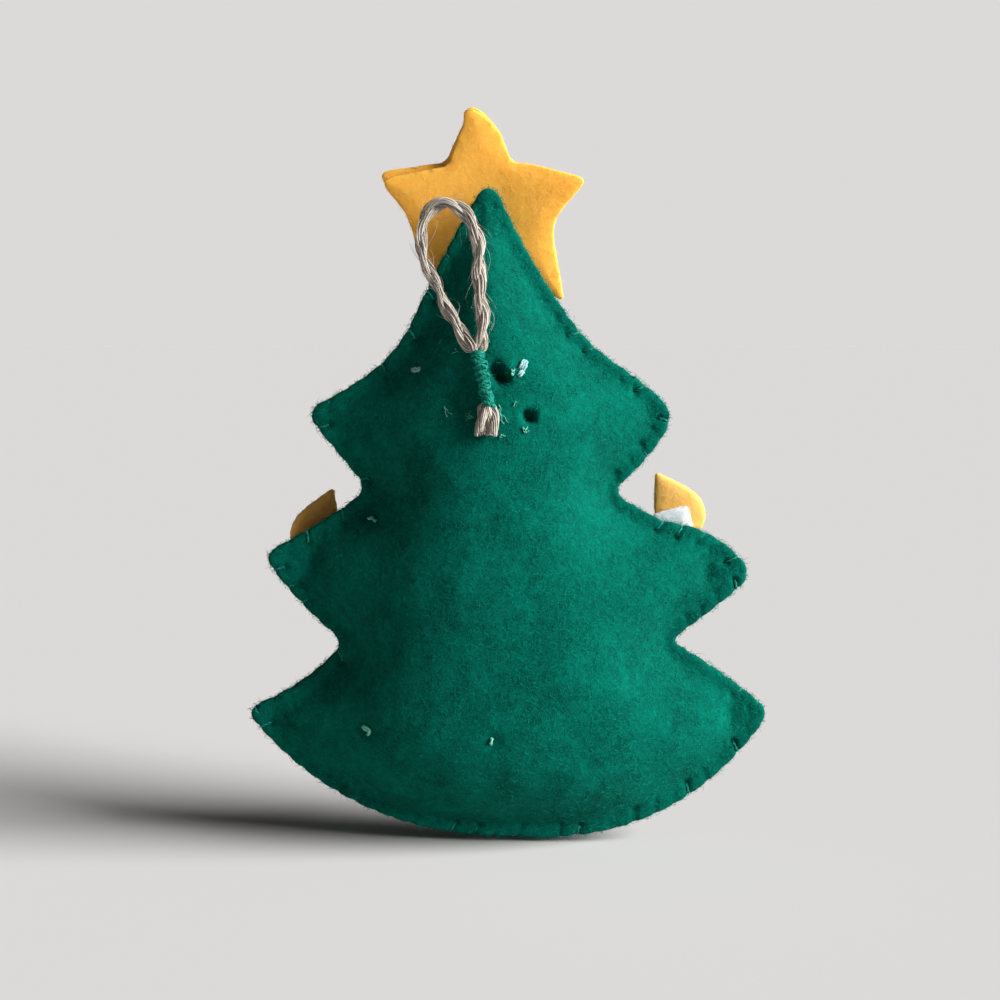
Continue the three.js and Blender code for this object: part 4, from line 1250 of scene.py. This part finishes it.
# Height of the waves off the felt and turn of those along it, each with its pace for each step
LIFT_WAVE = (0.10, 0.9)
TURN_WAVE = (0.6, 1.1)
loose_draw = np.random.default_rng(19)
loose = []
for x, z, reach, turn, scatter, count, radius in LOOSE_ENDS:
    for _ in range(count):
        angle = math.radians(turn + loose_draw.normal(0, scatter))
        curl = loose_draw.normal(0, 1.0)
        phase = loose_draw.uniform(*ANY_PHASE)
        spot = np.array((x, z)) + loose_draw.normal(0, LOOSE_SCATTER, 2)
        row = []
        for step in range(LOOSE_STEPS):
            lift = radius + LOOSE_LIFT + LIFT_WAVE[0] * math.sin(LIFT_WAVE[1] * step + phase)
            row.append(on_back(*spot, lift))
            heading = angle + TURN_WAVE[0] * math.sin(TURN_WAVE[1] * step + phase)
            spot = spot + reach / LOOSE_STEPS * pointing(heading)
            angle += curl / LOOSE_STEPS
        loose.append(closed_strand(np.array(row), radius))
loose_ends = add_piece("loose_thread_ends", sweep(loose, ring=0, seed=20), "pale_thread")
sewn_on(loose_ends, "pale_thread")

# %% [markdown]
# ## Star, candles and flames
# These are cut from flat felt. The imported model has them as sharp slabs, so a merged copy of each is
# remeshed into small even faces, which rounds the edges, and then gets the slight waves and nibbles of cut
# felt.

# %% Felt cut-outs
EDGE_ON = 0.35
STAR_CURL = -0.05
STAR_ARM = 11.0
STAR_CURL_HEIGHTS = (92.0, 97.0)
CUT_SOFTENINGS = 5
CORNER_MERGE = 0.001 * MM
WAVE_SIZE = 8
NIBBLE_PACE = 0.9


def cushion(soft, depth, reach):
    """Thins a slab towards its cut edge, so that its faces swell like a cushion."""
    normals = np.array([v.normal for v in soft.verts])
    spots = np.array([v.co for v in soft.verts])
    across = np.linalg.eigh(normals.T @ normals)[1][:, -1]
    facing = normals @ across
    flat = spots - np.outer(spots @ across, across)
    rim = flat[np.abs(facing) < EDGE_ON]
    rim_tree = kd_tree(rim)
    for vert, spot, face in zip(soft.verts, flat, facing):
        gap = rim_tree.find(spot)[2]
        vert.co -= Vector(across) * float(face * depth * bell(gap, reach))


# Places where the scissors left the even star: x and z, the shift along x and z, and its reach
STAR_SLIPS = [
    (-1.2, 109.8, 1.2, 0.1, 3.3),
    (-5.1, 112.5, -0.6, 0.0, 1.2),
    (-2.8, 112.5, 0.3, 0.0, 1.2),
    (2.0, 105.2, -0.25, -0.75, 1.9),
    (-8.4, 105.0, 0.35, -0.7, 1.9),
    (-17.4, 102.2, -0.3, 0.45, 4.0),
]


def star_shift(x, z):
    """How far the hand-cut star lies from the even one. Its free right arm curls back a little."""
    curled = STAR_CURL * min(max(x, 0.0), STAR_ARM) * float(smooth_step(z, *STAR_CURL_HEIGHTS))
    moved = Vector((0, curled, 0))
    for at_x, at_z, along_x, along_z, reach in STAR_SLIPS:
        near = float(bell(math.dist((x, z), (at_x, at_z)), reach))
        moved += near * Vector((along_x, 0, along_z))
    return moved


def cut_piece(node, voxel, thin=None, wave=0.0, seed=0.0, nibble=0.0, nudge=Matrix()):
    """A soft copy of a packed slab, in millimetres."""
    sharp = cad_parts[node].data.copy()
    with reshaping(sharp) as shape:
        bmesh.ops.remove_doubles(shape, verts=shape.verts, dist=CORNER_MERGE)
        bmesh.ops.transform(shape, matrix=nudge @ TO_MODEL.inverted(), verts=shape.verts)
    mesh = remeshed(sharp, voxel)
    axes = {"use_axis_" + axis: True for axis in "xyz"}
    with reshaping(mesh) as soft:
        for _ in range(CUT_SOFTENINGS):
            bmesh.ops.smooth_vert(soft, verts=soft.verts, factor=0.5, **axes)
        if thin:
            soft.normal_update()
            cushion(soft, *thin)
        for vert in soft.verts:
            x, y, z = vert.co
            moved = Vector((0, wave * (0.5 + noise.noise((x / WAVE_SIZE, z / WAVE_SIZE, seed))), 0))
            if node.startswith("star"):
                moved += star_shift(x, z)
            spot = (x * NIBBLE_PACE, y * NIBBLE_PACE, z * NIBBLE_PACE + seed)
            vert.co += moved + vert.normal * nibble * noise.noise(spot)
    return mesh


STAR_TILT = math.radians(8)
STAR_MIDDLE = Vector((-2.0, 0, 99.3))
LAYER_TURN = Matrix.Rotation(math.radians(3.5), 4, "Y")
NUDGES = {
    "star_front_layer": Matrix.Translation((0.35, 0, -0.35))
    @ Matrix.Translation(STAR_MIDDLE) @ LAYER_TURN @ Matrix.Translation(-STAR_MIDDLE),
    "candle_left_branch": Matrix.Translation((-0.2, 0, -1.4)),
    "candle_right_branch": Matrix.Translation((-0.9, 0, -0.55)),
}
PLACES = ("left_branch", "right_branch", "top_left", "top_right", "bottom_left", "bottom_middle")
CUT_OUTS = ["star_back_layer", "star_front_layer"]
for place in PLACES:
    CUT_OUTS += ["candle_" + place, "flame_" + place]
# Felt, loose wool and slot of each kind of piece, then its thinning, wave, seed, nibble, and its fibres
KINDS = {
    "star": ("yellow_felt", "yellow_wool", "yellow_felt", (0.25, 1.6), 0.15, 1.0, 0.02, 2400, 0.55),
    "candle": ("white_felt", "white_wool", "white_felt", (0.15, 1.1), 0.12, 3.7, 0.05, 420, 0.7),
    "flame": ("flame_felt", "flame_wool", "yellow_felt", (0.15, 1.1), 0.12, 3.7, 0.05, 420, 0.7),
}
CUT_VOXEL = 0.32
CUT_FIBRE = 1.0
CUT_LIFT = 0.3
CUT_SEED = 40

for number, node in enumerate(CUT_OUTS):
    cloth, wool, slot, thin, wave, seed, nibble, count, fine = KINDS[node.split("_")[0]]
    mesh = cut_piece(node, CUT_VOXEL, thin, wave, seed, nibble, NUDGES.get(node, Matrix()))
    fuzz = add_fuzz(node + "_fuzz", mesh, count, CUT_FIBRE, CUT_LIFT, CUT_SEED + number, wool, fine)
    piece = add_piece(node + "_felt", mesh, cloth)
    sewn_on(piece, slot, node)
    sewn_on(fuzz, slot)
    if node.startswith("star"):
        low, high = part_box(node)
        flat = (round(high[0] - low[0], 4), round((high[2] - low[2]) / math.cos(STAR_TILT), 4))

# %% [markdown]
# ## Stuffing
# The loose fibre inside doesn't show, but the part has it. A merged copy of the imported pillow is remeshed
# and pressed in unevenly, so that it stays inside the felt.

# %% Wadding
FELT_ROOM = 0.3
WAD_VOXEL = 1.1
WAD_SIZE = 6
WAD_PRESS = 0.5
WAD_UNREST = 0.45
THINNEST = 0.02
WAD_SHADE = 0.5
stuffing_mesh = cut_piece("stuffing", WAD_VOXEL)
spots = coordinates(stuffing_mesh)
normals = np.array([v.normal for v in stuffing_mesh.vertices])
press = [WAD_PRESS + WAD_UNREST * noise.noise(spot / WAD_SIZE) for spot in spots]
spots -= normals * np.array(press)[:, None]
flat = spots[:, [0, 2]]
behind, before = (
    np.maximum(THINNEST, sheet_faces(flat, rise_at)[1] - FELT_ROOM) for rise_at in (back_rise, front_rise)
)
spots[:, 1] = np.clip(spots[:, 1], -behind, before)
stuffing_mesh.vertices.foreach_set("co", spots.ravel())
stuffing_mesh.update()
set_shade(stuffing_mesh, np.full(len(spots), WAD_SHADE))
stuffing = add_piece("fibre_stuffing", stuffing_mesh, "fibre_fill")
sewn_on(stuffing, "fibre_fill", "stuffing")
